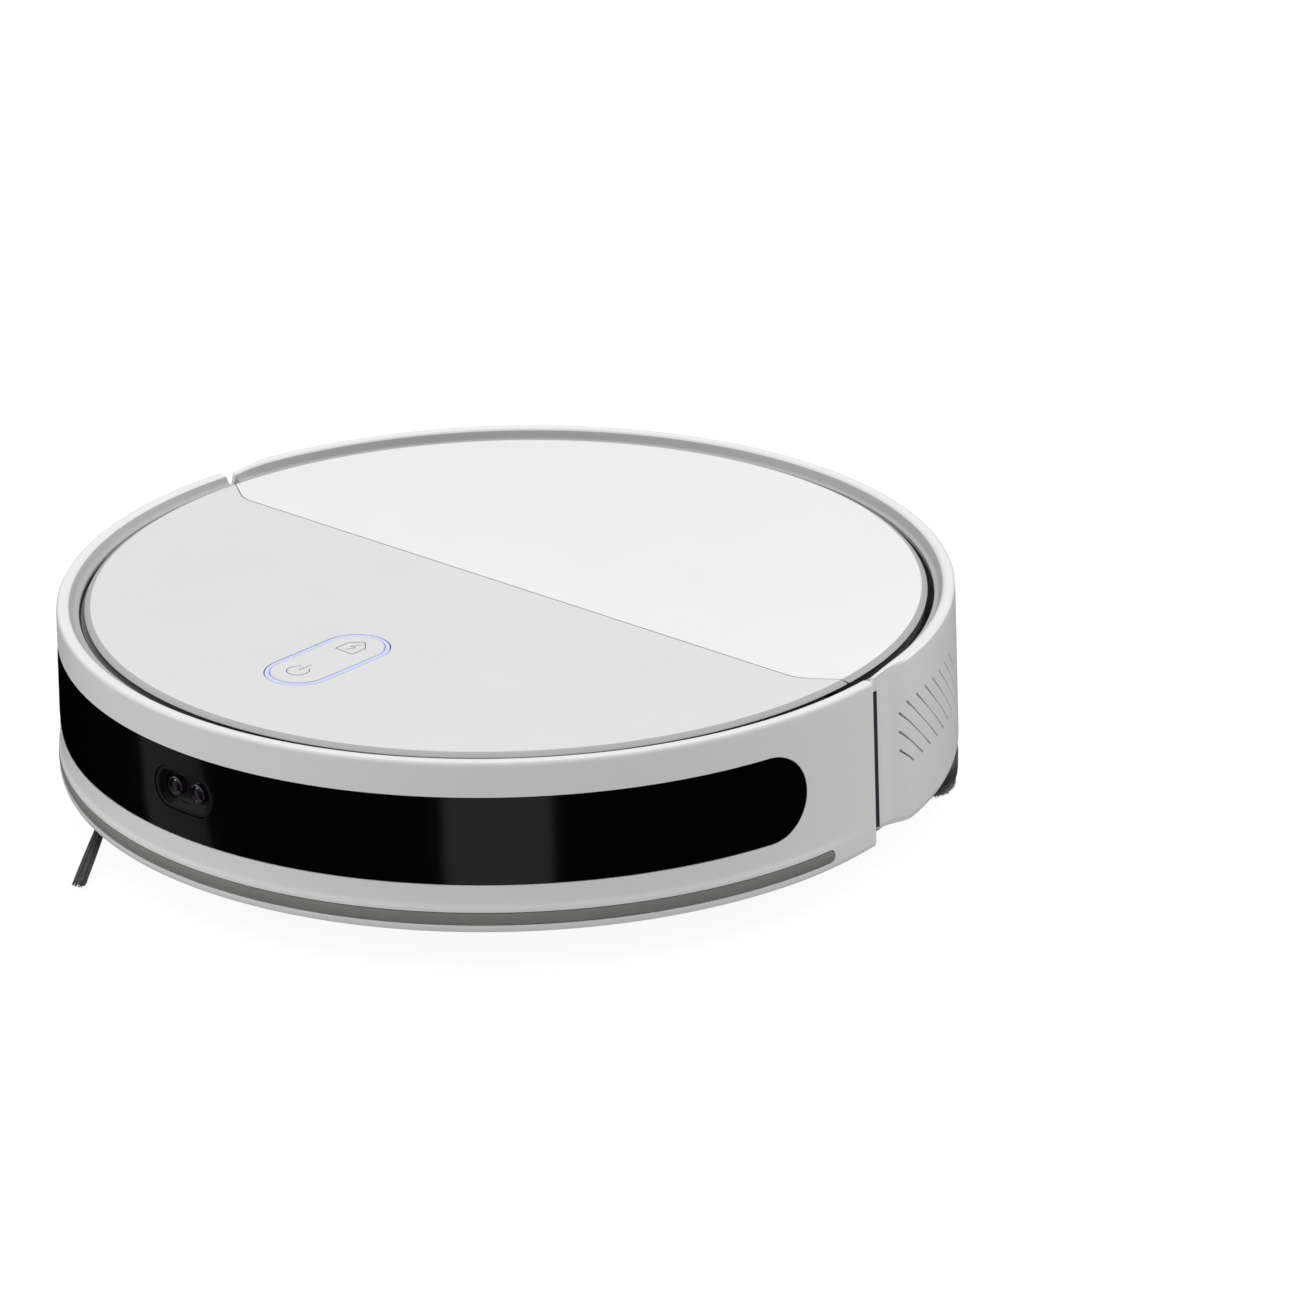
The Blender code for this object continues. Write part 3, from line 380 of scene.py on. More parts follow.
def stadium(a0, a1, z0, z1, n, turns=13, scale=162.5):
    radius = (z1 - z0) / 2
    ends = math.degrees(radius / scale)
    turn = [math.radians(t) for t in np.linspace(-90, 0, turns)]
    lower = [(a0 + ends - ends * math.cos(t), (z0 + z1) / 2 + radius * math.sin(t)) for t in reversed(turn)]
    lower += [(a, z0) for a in np.linspace(a0 + ends, a1 - ends, n)[1:-1]]
    lower += [(a1 - ends + ends * math.cos(t), (z0 + z1) / 2 + radius * math.sin(t)) for t in turn]
    return lower + [(a, z1 + z0 - z) for a, z in reversed(lower)]


# ---------------------------------------------------------------- bumper
def bumper_points(theta):
    ease = smooth((abs(abs(theta + 90) - (90 + A_END)) if abs(theta + 90) < 90 + A_END else 0) / 14.0)
    lip = (R_LIP - R_LOW) * ease
    points = [
        (159.1, Z_CREST), (160.7, Z_CREST), (161.4, Z_CREST - 0.9), (R_TOP, 74.0),
        (wall_r(64.0), 64.0), (wall_r(48.0), 48.0), (wall_r(31.5), 31.5), (wall_r(26.0) + 0.2 * lip, 25.0),
        (wall_r(22.4) + lip, 23.4), (R_LOW + lip, 16.4), (R_LOW - 0.6 + lip, Z_BUMPER), (160.95, Z_BUMPER),
        (160.55, 20.0), (160.35, 34.0), (160.15, 62.0), (159.05, 71.45), (153.45, 71.65), (153.45, 73.0),
        (155.6, 73.4), (156.5, 75.0), (157.4, Z_CREST - 0.25),
    ]
    radii = [0.8, 0.6, 0.5, 0.6, 0, 0, 0, 0.8, 0.7, 0.9, 0.4, 0.2, 0, 0, 0, 0.3, 0.2, 0.4, 0.8, 0.8, 0.6]
    return rounded(points, radii, 3)


_, BUMPER_SOURCE = bumper_points(-90)
quick_steps = 0.6
fronts = np.linspace(-180 - A_END, A_END, int(188 / quick_steps) + 1)
# faces of the rim's inner wall (outline points 17 to 19) take the second material, which is painted shade
bumper_mesh = loft_mesh(
    "bumper_shell_fine", [[at(r, t, z) for r, z in bumper_points(t)[0]] for t in fronts],
    shade=lambda i: 1 if BUMPER_SOURCE[i] in (17, 18, 19) else 0)
WINDOW = (-180 + 8.3, -8.3, 32.2, 63.5)
port_half = math.degrees(7.6 / 162.5)
port_span = port_half * 1.9
tools = [
    band_mesh("window_pocket", stadium(WINDOW[0] - 0.10, WINDOW[1] + 0.10, WINDOW[2] - 0.28, WINDOW[3] + 0.28, 180), lambda z: wall_r(z) + 3.0, lambda z: wall_r(z) - 1.5),
    band_mesh("strip_groove", stadium(-180 + 3.95, -3.95, 17.6, 22.4, 190), lambda z: 168.0, lambda z: 162.2),
    band_mesh("port_hole", stadium(-90 - port_span, -90 + port_span, 41.6, 57.2, 8), lambda z: wall_r(z) + 4.0, lambda z: wall_r(z) - 8.0),
]
bumper_mesh = cut(bumper_mesh, tools)
place("bumper_shell_fine", bumper_mesh, ["shell", "rim_inner"], "bumper", "bumper_shell", sharp=28)

window_mesh = band_mesh("ir_window_fine", stadium(*WINDOW, 180), lambda z: wall_r(z) + 0.08 - 0.25 * smooth((abs(z - 47.85) - 14.6) / 1.05), lambda z: wall_r(z) - 1.2)
window_mesh = cut(window_mesh, [band_mesh("port_hole2", stadium(-90 - port_span, -90 + port_span, 41.6, 57.2, 8), lambda z: wall_r(z) + 4.0, lambda z: wall_r(z) - 8.0)])
place("ir_window_fine", window_mesh, "window", "bumper", "ir_window")
strip_mesh = band_mesh("bump_strip_fine", stadium(-180 + 4.1, -4.1, 17.9, 22.1, 190), lambda z: 163.85 - 0.35 * ((z - 20.0) / 2.1) ** 2 * (1 if abs(z - 20) > 1 else 0.6), lambda z: 162.5)
place("bump_strip_fine", strip_mesh, "strip", "bumper", "bump_strip")

# the sensor port: a stepped recess with two small lenses
bezel = band_mesh("port_bezel_fine", stadium(-90 - port_half * 1.84, -90 + port_half * 1.84, 41.9, 56.9, 10), lambda z: wall_r(z) - 0.2, lambda z: wall_r(z) - 4.7)
bezel = cut(bezel, [
    band_mesh("port_step_a", stadium(-90 - port_half * 1.66, -90 + port_half * 1.66, 42.9, 55.9, 10), lambda z: wall_r(z) + 3.0, lambda z: wall_r(z) - 2.2),
    band_mesh("port_step_b", stadium(-90 - port_half * 1.48, -90 + port_half * 1.48, 44.1, 54.7, 10), lambda z: wall_r(z) + 3.0, lambda z: wall_r(z) - 3.7),
])
place("port_bezel_fine", bezel, "port", "bumper", "port_bezel")
for side, x in (("left", 5.4), ("right", -5.4)):
    lo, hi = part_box("laser_lens_" + side)
    cx, cz = (lo.x + hi.x) / 2 / MM, (lo.z + hi.z) / 2 / MM
    y0, y1 = lo.y / MM - DY, hi.y / MM - DY          # outer (front) face and inner face
    profile = [(0, y0 + 0.35), (1.2, y0 + 0.4), (2.1, y0 + 0.62), (2.6, y0 + 0.95), (2.65, y0 + 0.55), (2.8, y0 + 0.1), (3.3, y0 + 0.02), (3.55, y0 + 0.3), (3.58, y1), (0, y1)]
    place("laser_lens_fine_" + side, turn_mesh("lens", profile, (cx, 0, cz), "Y", 48), "lens", "bumper", "laser_lens_" + side)


# ---------------------------------------------------------------- rear body
def rim(theta):
    s = min(theta, 180 - theta)
    t = min(max((s - 4.4) / 8.0, 0.0), 1.0)
    return math.sqrt(max(0.0, 1 - (1 - t) ** 2))


def rear_points(theta):
    s = min(theta, 180 - theta)
    inset = 2.4 * (1 - smooth((s - 7.6) / 5.0)) + 0.8 * (1 - smooth((s - 5.4) / 1.4))
    drop = 2.6 if s < 5.4 else 0.0
    h = 0.0 if s < 5.4 else rim(theta)
    top = 73.6 - drop + (Z_CREST_R - 73.6) * h
    knee = min(top - 0.6, 73.6)
    foot = Z_REAR + 2.6 * (1 - smooth((s - 5) / 9.0))
    points = [
        (158.5, top), (160.3 - 0.5 * inset, top - 0.05), (161.3 - inset, top - 0.9), (R_TOP - inset, knee - 0.5),
        (wall_r(60) - inset, 60.0), (wall_r(36) - inset, 36.0), (wall_r(foot + 2) - inset, foot + 2.0),
        (wall_r(foot) - 0.5 - inset, foot), (160.4 - inset, foot), (159.9 - inset, 36.0), (159.3 - inset, 60.0),
        (158.0 - inset * 0.6, 70.6 - drop), (153.9, 71.2 - drop), (153.9, 73.0 - drop), (155.4, 73.2 - drop),
        (156.2, 73.4 - drop + 1.4 * h), (157.2, 73.5 - drop + 3.2 * h),
    ]
    radii = [0.8 * h + 0.05, 0.7 * h, 0.5, 0.4, 0, 0, 0.4, 0.4, 0.1, 0, 0, 0.3, 0.2, 0.4, 0.5, 0.6 * h, 0.7 * h]
    # Points keep one count at every angle, so the radii never reach zero where they are rounded.
    radii = [max(r, 0.02) if i not in (4, 5, 8, 9, 10) else 0 for i, r in enumerate(radii)]
    return rounded(points, radii, 3)


_, REAR_SOURCE = rear_points(90)
rears = sorted({4.6, 5.3, 5.7, 174.3, 174.7, 175.4} | set(np.linspace(6.2, 173.8, int(167.6 / quick_steps) + 1)))
# faces of the rim's inner wall (outline points 13 to 15) take the second material, which is painted shade
rear_mesh = loft_mesh(
    "rear_body_fine", [[at(r, t, z) for r, z in rear_points(t)[0]] for t in rears],
    shade=lambda i: 1 if REAR_SOURCE[i] in (13, 14, 15) else 0)


def vent(a_low, sign):
    a0, a1, z0, z1 = a_low, a_low - 9.3, 37.1, 61.5
    if a1 < 10.5:
        z1 = z0 + (z1 - z0) * (a0 - 10.5) / 9.3
        a1 = 10.5
    half = math.degrees(0.68 / 162)
    rings = []
    length = max(z1 - z0, 1.0)
    for r in (154.0, 168.0):
        ring = []
        # round-ended slot: lower end, then upper end
        for t in np.linspace(math.pi, 2 * math.pi, 7):
            ring.append((a0 + half * math.cos(t), z0 + 0.5 + 0.5 * math.sin(t)))
        for t in np.linspace(0, math.pi, 7):
            ring.append((a1 + half * math.cos(t), z1 - 0.5 + 0.5 * math.sin(t)))
        rings.append([(sign * p[0], p[1], p[2]) for p in (at(r, a, z) for a, z in ring)])
    return loft_mesh("vent", rings)


holes = [vent(13.3 + 2.67 * k, sign) for k in range(10) for sign in (1, -1)]
holes += [box_mesh("contact_cut", (x - 6.3, 155, 23.7), (x + 6.3, 166, 36.3), 0.0) for x in (18, -18)]
holes += [box_mesh("ir_cut", (-10.3, 155, 44.7), (10.3, 166, 57.3), 0.0)]
place("rear_body_fine", cut(rear_mesh, holes, "rear", "MANIFOLD"), ["shell", "rim_inner"], "chassis", "rear_body_shell", sharp=28)

# thin dark sheets in the two side gaps, behind the bumper's ends: painted shade where the gaps fall in shadow
def gap_shade_section(theta):
    s = min(theta, 180 - theta)
    inset = 2.4 * (1 - smooth((s - 7.6) / 5.0)) + 0.8 * (1 - smooth((s - 5.4) / 1.4))
    rows = (19.5, 36.0, 60.0, 70.4)
    return [at(wall_r(z) - inset + 0.12, theta, z) for z in rows] + [at(wall_r(z) - inset - 0.3, theta, z) for z in reversed(rows)]


for side, angles in (("left", (5.45, 5.7, 5.95, 6.15)), ("right", (173.85, 174.05, 174.3, 174.55))):
    place("side_gap_painted_shade_" + side, loft_mesh("seal", [gap_shade_section(a) for a in angles]), "groove", "chassis", ())

# ---------------------------------------------------------------- front deck and lid
# each row: radius, height, set-back at the parting line, and the material of the band that ends at this outline; 1 is
# the painted shade on the edge
RINGS = (
    (R_DECK - 1.0, Z_DECK, 0.0, 0), (R_DECK - 0.35, Z_DECK - 0.03, 0.0, 0), (R_DECK, Z_DECK - 0.14, 0.02, 1), (R_DECK + 0.5, Z_DECK - 0.5, 0.06, 1),
    (R_SKIRT - 0.15, 73.85, 0.2, 1), (R_SKIRT, 73.65, 0.4, 1), (R_SKIRT - 0.1, 73.4, 0.9, 1),
)


def side_angle(radius, shift):
    a = 3.0
    for _ in range(40):
        a = math.degrees(math.asin((parting(radius * math.cos(math.radians(a))) + shift) / radius))
    return a


def split_xs(edge):
    return list(np.concatenate([np.linspace(edge, 128, 26)[1:], np.linspace(128, -128, 60)[1:-1], np.linspace(-128, -edge, 26)[:-1]]))


def deck_outline(radius, back):
    a = side_angle(radius, -0.22 - back)
    edge = radius * math.cos(math.radians(a))
    return arc(radius, -180 - a, a, 240) + [(x, parting(x) - 0.22 - back) for x in split_xs(edge)]


def lid_outline(radius, back):
    a = side_angle(radius, 0.22 + back)
    edge = radius * math.cos(math.radians(a))
    return arc(radius, a, 180 - a, 240) + [(x, parting(x) + 0.22 + back) for x in reversed(split_xs(edge))]


def disc_mesh(name, outline, rings):
    """Stacked outlines from the top face down, joined ring to ring, with the flat top and bottom faces each closed as
    one n-gon.
    """
    bm = bmesh.new()
    loops, shades = [], []
    for radius, z, back, shade in rings:
        loops.append([bm.verts.new(Vector((x, y, z)) * MM) for x, y in outline(radius, back)])
        shades.append(shade)
    count = len(loops[0])
    for (a, b), shade in zip(zip(loops, loops[1:]), shades[1:]):
        for i in range(count):
            j = (i + 1) % count
            bm.faces.new((a[i], a[j], b[j], b[i])).material_index = shade
    top = bm.faces.new(loops[0])
    bottom = bm.faces.new(loops[-1][::-1])
    bottom.material_index = 0
    return finished(bm, name, 1e-7)


deck_mesh = disc_mesh("front_deck_fine", deck_outline, RINGS)
web = loft_mesh("deck_web", [[at(r, t, z) for r, z in ((145.8, 73.45), (145.8, 71.25), (152.9, 71.25), (152.9, 70.0), (143.4, 70.0), (143.4, 73.45))] for t in np.linspace(-179.8, -0.2, 181)])
pill_cut = loft_mesh("pill_cut", [[(x, y, z) for x, y in pill(PILL_R + 2.3)] for z in (60, 90)])
place("front_deck_fine", cut(deck_mesh, [pill_cut]), ["deck", "deck_edge"], "chassis", "front_deck")
place("deck_skirt_fine", web, "inner", "chassis", ())
collar = cut(
    loft_mesh("collar", [[(x, y, z) for x, y in pill(PILL_R + 4.2)] for z in (68.2, 73.35)]),
    [loft_mesh("collar_hole", [[(x, y, z) for x, y in pill(PILL_R + 2.3)] for z in (60, 90)])])
place("button_collar_fine", collar, "deck", "chassis", ())

lid_mesh = disc_mesh("rear_lid_fine", lid_outline, RINGS)
place("rear_lid_fine", lid_mesh, ["lid", "deck_edge"], "lid", "rear_lid")
for side, x in (("left", 40), ("right", -40)):
    lug = box_mesh("lid_lug", (x - 3, 136.9, 69.35), (x + 3, 141.1, 73.5), 0.35, 2)
    lug = cut(lug, [turn_mesh("bore", [(1.0, -8), (1.0, 8), (0, 8), (0, -8)][::-1], (x, *LID_AXIS), "X", 24)])
    place("lid_lug_fine_" + side, lug, "lid", "lid", (), sharp=40)
ribs = []
for k, y in enumerate((34, 64, 94, 118)):
    half = math.sqrt(143.0 ** 2 - y ** 2)
    for tag, x0, x1 in (("a", -half, -72.0), ("b", 72.0, half)):
        if x1 - x0 > 8:
            place(f"lid_rib_{k}_{tag}", box_mesh("rib", (x0, y - 0.7, 72.3), (x1, y + 0.7, 73.35), 0.2, 2), "lid", "lid", ())
for tag, t0, t1 in (("left", 6, 64), ("right", 116, 174)):
    place("lid_seal_" + tag, loft_mesh("lid_seal", [[at(r, t, z) for r, z in ((146.0, 73.35), (147.4, 73.35), (147.2, 72.6), (146.2, 72.6))] for t in np.linspace(t0, t1, 60)]), "rubber", "lid", ())

# ---------------------------------------------------------------- button
def pill_loft(name, rings):
    return loft_mesh(name, [[(x, y, z) for x, y in pill(r)] for r, z in rings])


def pill_ring(name, profile):
    """A closed profile of (offset, z) run round the pill."""
    bm = bmesh.new()
    loops = [[bm.verts.new(Vector((x, y, z)) * MM) for x, y in pill(r)] for r, z in profile]
    count = len(loops[0])
    for a, b in zip(loops, loops[1:] + loops[:1]):
        for i in range(count):
            j = (i + 1) % count
            bm.faces.new((a[i], a[j], b[j], b[i]))
    return finished(bm, name, 1e-7)


place("button_light_ring_fine", pill_ring("ring", [(PILL_R + 0.4, 71.0), (PILL_R + 0.4, 75.02), (PILL_R + 0.7, 75.13), (PILL_R + 1.5, 75.13), (PILL_R + 1.85, 74.95), (PILL_R + 1.95, 74.6), (PILL_R + 1.95, 71.0)]), "glow", "chassis", "button_light_ring")
# the floor of the groove round the button is near-black painted shade
place("button_groove_fine", pill_ring("groove", [(PILL_R + 1.98, 71.0), (PILL_R + 1.98, 74.55), (PILL_R + 2.26, 74.75), (PILL_R + 2.26, 71.0)]), "groove", "chassis", ())
rocker_mesh = pill_loft("rocker", [(PILL_R, 72.6), (PILL_R, 75.0), (PILL_R - 0.12, 75.2), (PILL_R - 0.4, 75.29), (PILL_R - 1.0, 75.3)])
place("control_rocker_fine", rocker_mesh, "deck", "control_button", "control_rocker")
stem_lo, stem_hi = (-5, PILL_Y - 1.2, 69.2), (5, PILL_Y + 1.2, 72.6)
place("control_rocker_stem", box_mesh("stem", stem_lo, stem_hi, 0.3, 2), "deck", "control_button", ())


def line_mark(name, points, closed, width=0.34, height=0.06, z=75.27):
    """A thin flat printed line with mitred corners, following points in the plane."""
    count = len(points)
    left, right = [], []
    for i, p in enumerate(points):
        p = Vector(p)
        before = Vector(points[i - 1]) if (closed or i > 0) else None
        after = Vector(points[(i + 1) % count]) if (closed or i < count - 1) else None
        d0 = (p - before).normalized() if before is not None else (after - p).normalized()
        d1 = (after - p).normalized() if after is not None else d0
        n0, n1 = Vector((-d0.y, d0.x)), Vector((-d1.y, d1.x))
        m = (n0 + n1)
        m = m / max(m.length_squared / 2, 0.5)
        left.append(p + m * width / 2)
        right.append(p - m * width / 2)
    bm = bmesh.new()
    layers = [[[bm.verts.new(Vector((q.x, q.y, h)) * MM) for q in row] for row in (left, right)] for h in (z, z + height)]
    for i in range(count if closed else count - 1):
        j = (i + 1) % count
        (l0, r0), (l1, r1) = layers
        bm.faces.new((l1[i], r1[i], r1[j], l1[j]))
        bm.faces.new((l0[j], r0[j], r0[i], l0[i]))
        bm.faces.new((l0[i], l1[i], l1[j], l0[j]))
        bm.faces.new((r0[j], r1[j], r1[i], r0[i]))
    if not closed:
        (l0, r0), (l1, r1) = layers
        bm.faces.new((l0[0], r0[0], r1[0], l1[0]))
        bm.faces.new((l1[-1], r1[-1], r0[-1], l0[-1]))
    mesh = finished(bm, name, 0)
    return place(name, mesh, "mark", "control_button", (), smooth_faces=False)


IX = -0.5
line_mark("icon_power_ring", arc(4.0, 118, 422, 40, IX, -104.9), False)
line_mark("icon_power_bar", [(IX, -104.4), (IX, -98.6)], False)
house, _ = rounded([(IX - 4.2, -82.6), (IX + 4.2, -82.6), (IX + 4.2, -76.0), (IX, -71.9), (IX - 4.2, -76.0)], [0.8] * 5, 4)
line_mark("icon_home", house, True)
line_mark("icon_bolt", [(IX + 0.9, -74.6), (IX - 1.2, -77.7), (IX + 1.2, -77.9), (IX - 0.9, -81.0)], False, 0.3)


# ---------------------------------------------------------------- wheels
def tread(k, i, r):
    """Slanted grooves in the tyre's face, in a V that points round the wheel."""
    if r < WHEEL_R - 0.25:
        return 0.0
    lean = abs(TYRE_PROFILE[i][1]) * 0.75
    return -1.25 if ((k + lean) % 6.0) < 2.2 else 0.0


TYRE_PROFILE = [(27.0, -9.0), (30.6, -9.0), (31.6, -8.6), (32.4, -8.0), (33.0, -7.0), (33.0, -5.2), (33.0, -3.4), (33.0, -1.7), (33.0, 0.0),
                (33.0, 1.7), (33.0, 3.4), (33.0, 5.2), (33.0, 7.0), (32.4, 8.0), (31.6, 8.6), (30.6, 9.0), (27.0, 9.0)]
HUB_PROFILE = [(2.6, -8.0), (25.2, -8.0), (26.5, -7.2), (26.7, -6.4), (26.7, 6.4), (26.5, 7.2), (25.6, 8.0), (24.4, 8.0), (23.6, 7.0), (21.0, 5.2), (9.6, 5.2), (8.4, 6.0), (7.8, 7.6), (7.0, 8.0), (2.6, 8.0)]
for side, sign in (("left", 1), ("right", -1)):
    mid = sign * 106.0
    profile = [(r, h * sign) for r, h in TYRE_PROFILE]
    place("tyre_fine_" + side, turn_mesh("tyre", profile, (mid, 0, WHEEL_Z), "X", 180, flute=tread), "tyre", "wheel_" + side, "tyre_" + side, sharp=24)
    hub_mesh = turn_mesh("hub", [(r, h * sign) for r, h in HUB_PROFILE], (mid, 0, WHEEL_Z), "X", 96)
    slots = []
    for k in range(6):
        a = math.radians(60 * k + 30)
        c = (16.0 * math.cos(a), 16.0 * math.sin(a))
        slots.append(turn_mesh("slot", [(0, 0.5), (3.6, 0.5), (3.6, 12.0), (0, 12.0)] if sign > 0 else [(0, -12.0), (3.6, -12.0), (3.6, -0.5), (0, -0.5)], (mid, c[0], WHEEL_Z + c[1]), "X", 24))
    place("wheel_hub_fine_" + side, cut(hub_mesh, slots), "inner", "wheel_" + side, "wheel_hub_" + side)

CASTER = (0.0, -116.4, 9.0)
place("caster_wheel_fine", turn_mesh("caster_wheel", [(0, -6.2), (6.0, -6.2), (6.6, -5.6), (7.6, -6.1), (8.5, -5.6), (9.0, -4.4), (9.0, -1.1), (8.3, -0.7), (8.3, 0.7), (9.0, 1.1), (9.0, 4.4), (8.5, 5.6), (7.6, 6.1), (6.6, 5.6), (6.0, 6.2), (0, 6.2)], CASTER, "X", 96), "tyre", "caster_roller", "caster_wheel")
place("caster_axle_fine", turn_mesh("caster_axle", [(0, -12.0), (1.1, -12.0), (1.35, -11.7), (1.35, 11.7), (1.1, 12.0), (0, 12.0)], CASTER, "X", 32), "steel", "caster_roller", ())


# ---------------------------------------------------------------- bristles
def strands(name, paths, radius, sides=4):
    """Thin tapered tubes along paths of points, all in one mesh."""
    bm = bmesh.new()
    for path in paths:
        rings = []
        for i, p in enumerate(path):
            p = Vector(p)
            ahead = Vector(path[min(i + 1, len(path) - 1)]) - Vector(path[max(i - 1, 0)])
            ahead.normalize()
            u = ahead.cross(Vector((0, 0, 1)) if abs(ahead.z) < 0.9 else Vector((1, 0, 0))).normalized()
            v = ahead.cross(u)
            r = radius * (1.0 - 0.45 * i / (len(path) - 1))
            rings.append([bm.verts.new((p + u * r * math.cos(t) + v * r * math.sin(t)) * MM) for t in np.linspace(0, 2 * math.pi, sides, endpoint=False)])
        for a, b in zip(rings, rings[1:]):
            for i in range(sides):
                j = (i + 1) % sides
                bm.faces.new((a[i], a[j], b[j], b[i]))
        bm.faces.new(rings[0][::-1])
        bm.faces.new(rings[-1])
    return finished(bm, name, 0)


for tag, degrees in (("a", -54.0), ("b", 126.0)):
    rng = random.Random(11 if tag == "a" else 12)
    a = math.radians(degrees)
    ux, uy = math.cos(a), math.sin(a)
    paths = []
    for _ in range(110):
        across, up = rng.uniform(-1, 1), rng.uniform(-1, 1)
        while across * across + up * up > 1:
            across, up = rng.uniform(-1, 1), rng.uniform(-1, 1)
        reach = rng.uniform(0.955, 1.0)
        wave = rng.uniform(-0.35, 0.35)
        path = []
        for t in np.linspace(0, 1, 8):
            u = 24.4 + (76.4 - 24.4) * t * reach
            w = across * (1.5 + 0.95 * t) + wave * math.sin(3.0 * t)
            z = 6.9 + (2.3 - 6.9) * t + up * (0.95 - 0.15 * t)
            path.append((SIDE_BRUSH[0] + u * ux - w * uy, SIDE_BRUSH[1] + u * uy + w * ux, z))
        paths.append(path)
    place("bristle_tuft_fine_" + tag, strands("tuft", paths, 0.23), "bristle", "side_brush", "bristle_tuft_" + tag, sharp=60)

# main brush: a core, three rubber blades and three rows of bristle, all in a V along its length
def vee(x):
    return math.radians(0.55 * abs(x))


def brush_point(x, r, a):
    return (x, BRUSH_Y + r * math.cos(a), BRUSH_Z + r * math.sin(a))


core = turn_mesh("brush_core", [(0, -84.2), (2.6, -84.2), (3.0, -83.8), (3.0, -79.0), (9.4, -77.0), (10.3, -76.0), (10.3, 76.0), (9.4, 77.0), (3.0, 79.0), (3.0, 83.8), (2.6, 84.2), (0, 84.2)], (0, BRUSH_Y, BRUSH_Z), "X", 64)
place("main_brush_core", core, "inner", "main_brush", "main_brush_roller")
for k in range(3):
    base = math.radians(120 * k + 20)
    sections = []
    for x in np.linspace(-76.5, 76.5, 61):
        a = base + vee(x)
        ring = []
        for r, half in ((9.8, 0.11), (13.5, 0.062), (17.2, 0.042), (18.1, 0.03)):
            ring.append(brush_point(x, r, a - half))
        for r, half in ((18.1, 0.03), (17.2, 0.042), (13.5, 0.062), (9.8, 0.11)):
            ring.append(brush_point(x, r, a + half))
        sections.append(ring)
    place(f"main_brush_blade_{k}", loft_mesh("blade", sections), "rubber", "main_brush", ())
    rng = random.Random(40 + k)
    paths = []
    for x in np.arange(-74, 74.1, 4.0):
        a = base + math.radians(60) + vee(x)
        for _ in range(9):
            dx, da, reach = rng.uniform(-1.2, 1.2), rng.uniform(-0.06, 0.06), rng.uniform(17.4, 18.3)
            paths.append([brush_point(x + dx * t, 9.9 + (reach - 9.9) * t, a + da * t * 1.6) for t in (0.0, 0.5, 1.0)])
    place(f"main_brush_bristles_{k}", strands("row", paths, 0.16), "bristle", "main_brush", (), sharp=60)


# ---------------------------------------------------------------- mop
def mop_outline(radius, front, corner, n=1):
    cy = front + corner
    cx = math.sqrt((radius - corner) ** 2 - cy ** 2)
    turn = math.degrees(math.atan2(cy, cx))
    right = arc(corner, -90, turn, 12 * n, cx, cy)
    back = arc(radius, turn, 180 - turn, 90 * n)[1:-1]
    return right + back + [(-x, y) for x, y in reversed(right)]


def mop_stack(name, rings):
    """A closed slab from nested outlines, so that its faces can carry a fine surface."""
    return loft_mesh(name, [[(x, y, z) for x, y in mop_outline(163.0 - inset, 72.0 + inset, max(13.0 - inset * 0.3, 4.0))] for inset, z in rings])


place("mop_plate_fine", mop_stack("mop_plate", [(2.2, 11.85), (1.0, 11.7), (0.3, 11.2), (0.05, 10.5), (0.05, 7.9), (0.45, 7.7), (0.45, 7.3), (0.05, 7.1), (0.05, 6.2), (0.3, 5.6), (1.2, 5.0)]), "dark", "mop", "mop_plate")

cloth = mop_stack("mop_cloth", [(3.2, 4.68), (1.6, 4.55), (0.8, 3.9), (0.5, 3.2), (0.5, 2.4), (0.8, 1.6), (1.6, 0.95), (3.0, 0.62), (5.0, 0.55)])
bm = bmesh.new()
bm.from_mesh(cloth)
rng = random.Random(5)
for vert in bm.verts:
    out = Vector((vert.co.x, vert.co.y, 0)).normalized()
    if 0.0012 < vert.co.z < 0.0042:
        vert.co -= out * rng.uniform(0, 0.00045)
        vert.co.z += rng.uniform(-0.00012, 0.00012)
bm.to_mesh(cloth)
bm.free()
place("mop_cloth_fine", cloth, "cloth", "mop", "mop_cloth", sharp=60)
rng = random.Random(8)
loops = []
edge = mop_outline(162.1, 72.9, 12.7, 4)
for x, y in edge:
    for _ in range(2):
        d = Vector((x, y)).normalized()
        t = rng.uniform(-0.6, 0.6)
        px, py = x - d.y * t, y + d.x * t
        z = rng.uniform(1.5, 4.0)
        loops.append([(px - 0.5 * d.x, py - 0.5 * d.y, z), (px + 0.2 * d.x, py + 0.2 * d.y, z - 0.35), (px - 0.25 * d.x, py - 0.25 * d.y, z - 0.8)])
place("mop_cloth_pile", strands("pile", loops, 0.2), "cloth", "mop", (), sharp=60)

# ---------------------------------------------------------------- filter pleats and screws
lo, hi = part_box("filter_media")
f0, f1 = lo / MM, hi / MM
zigzag = []
pleats = 12
for k in range(pleats * 2 + 1):
    zigzag.append((f0.x + 0.3 if k % 2 else f1.x - 0.1, f0.y - DY + (f1.y - f0.y) * k / (pleats * 2)))
sheet = [(x, y) for x, y in zigzag] + [(x - 0.28, y) for x, y in reversed(zigzag)]
place("filter_pleats", loft_mesh("pleats", [[(x, y, z) for x, y in sheet] for z in (f0.z + 0.05, f1.z - 0.05)]), "paper", "dustbin", "filter_media", smooth_faces=False)

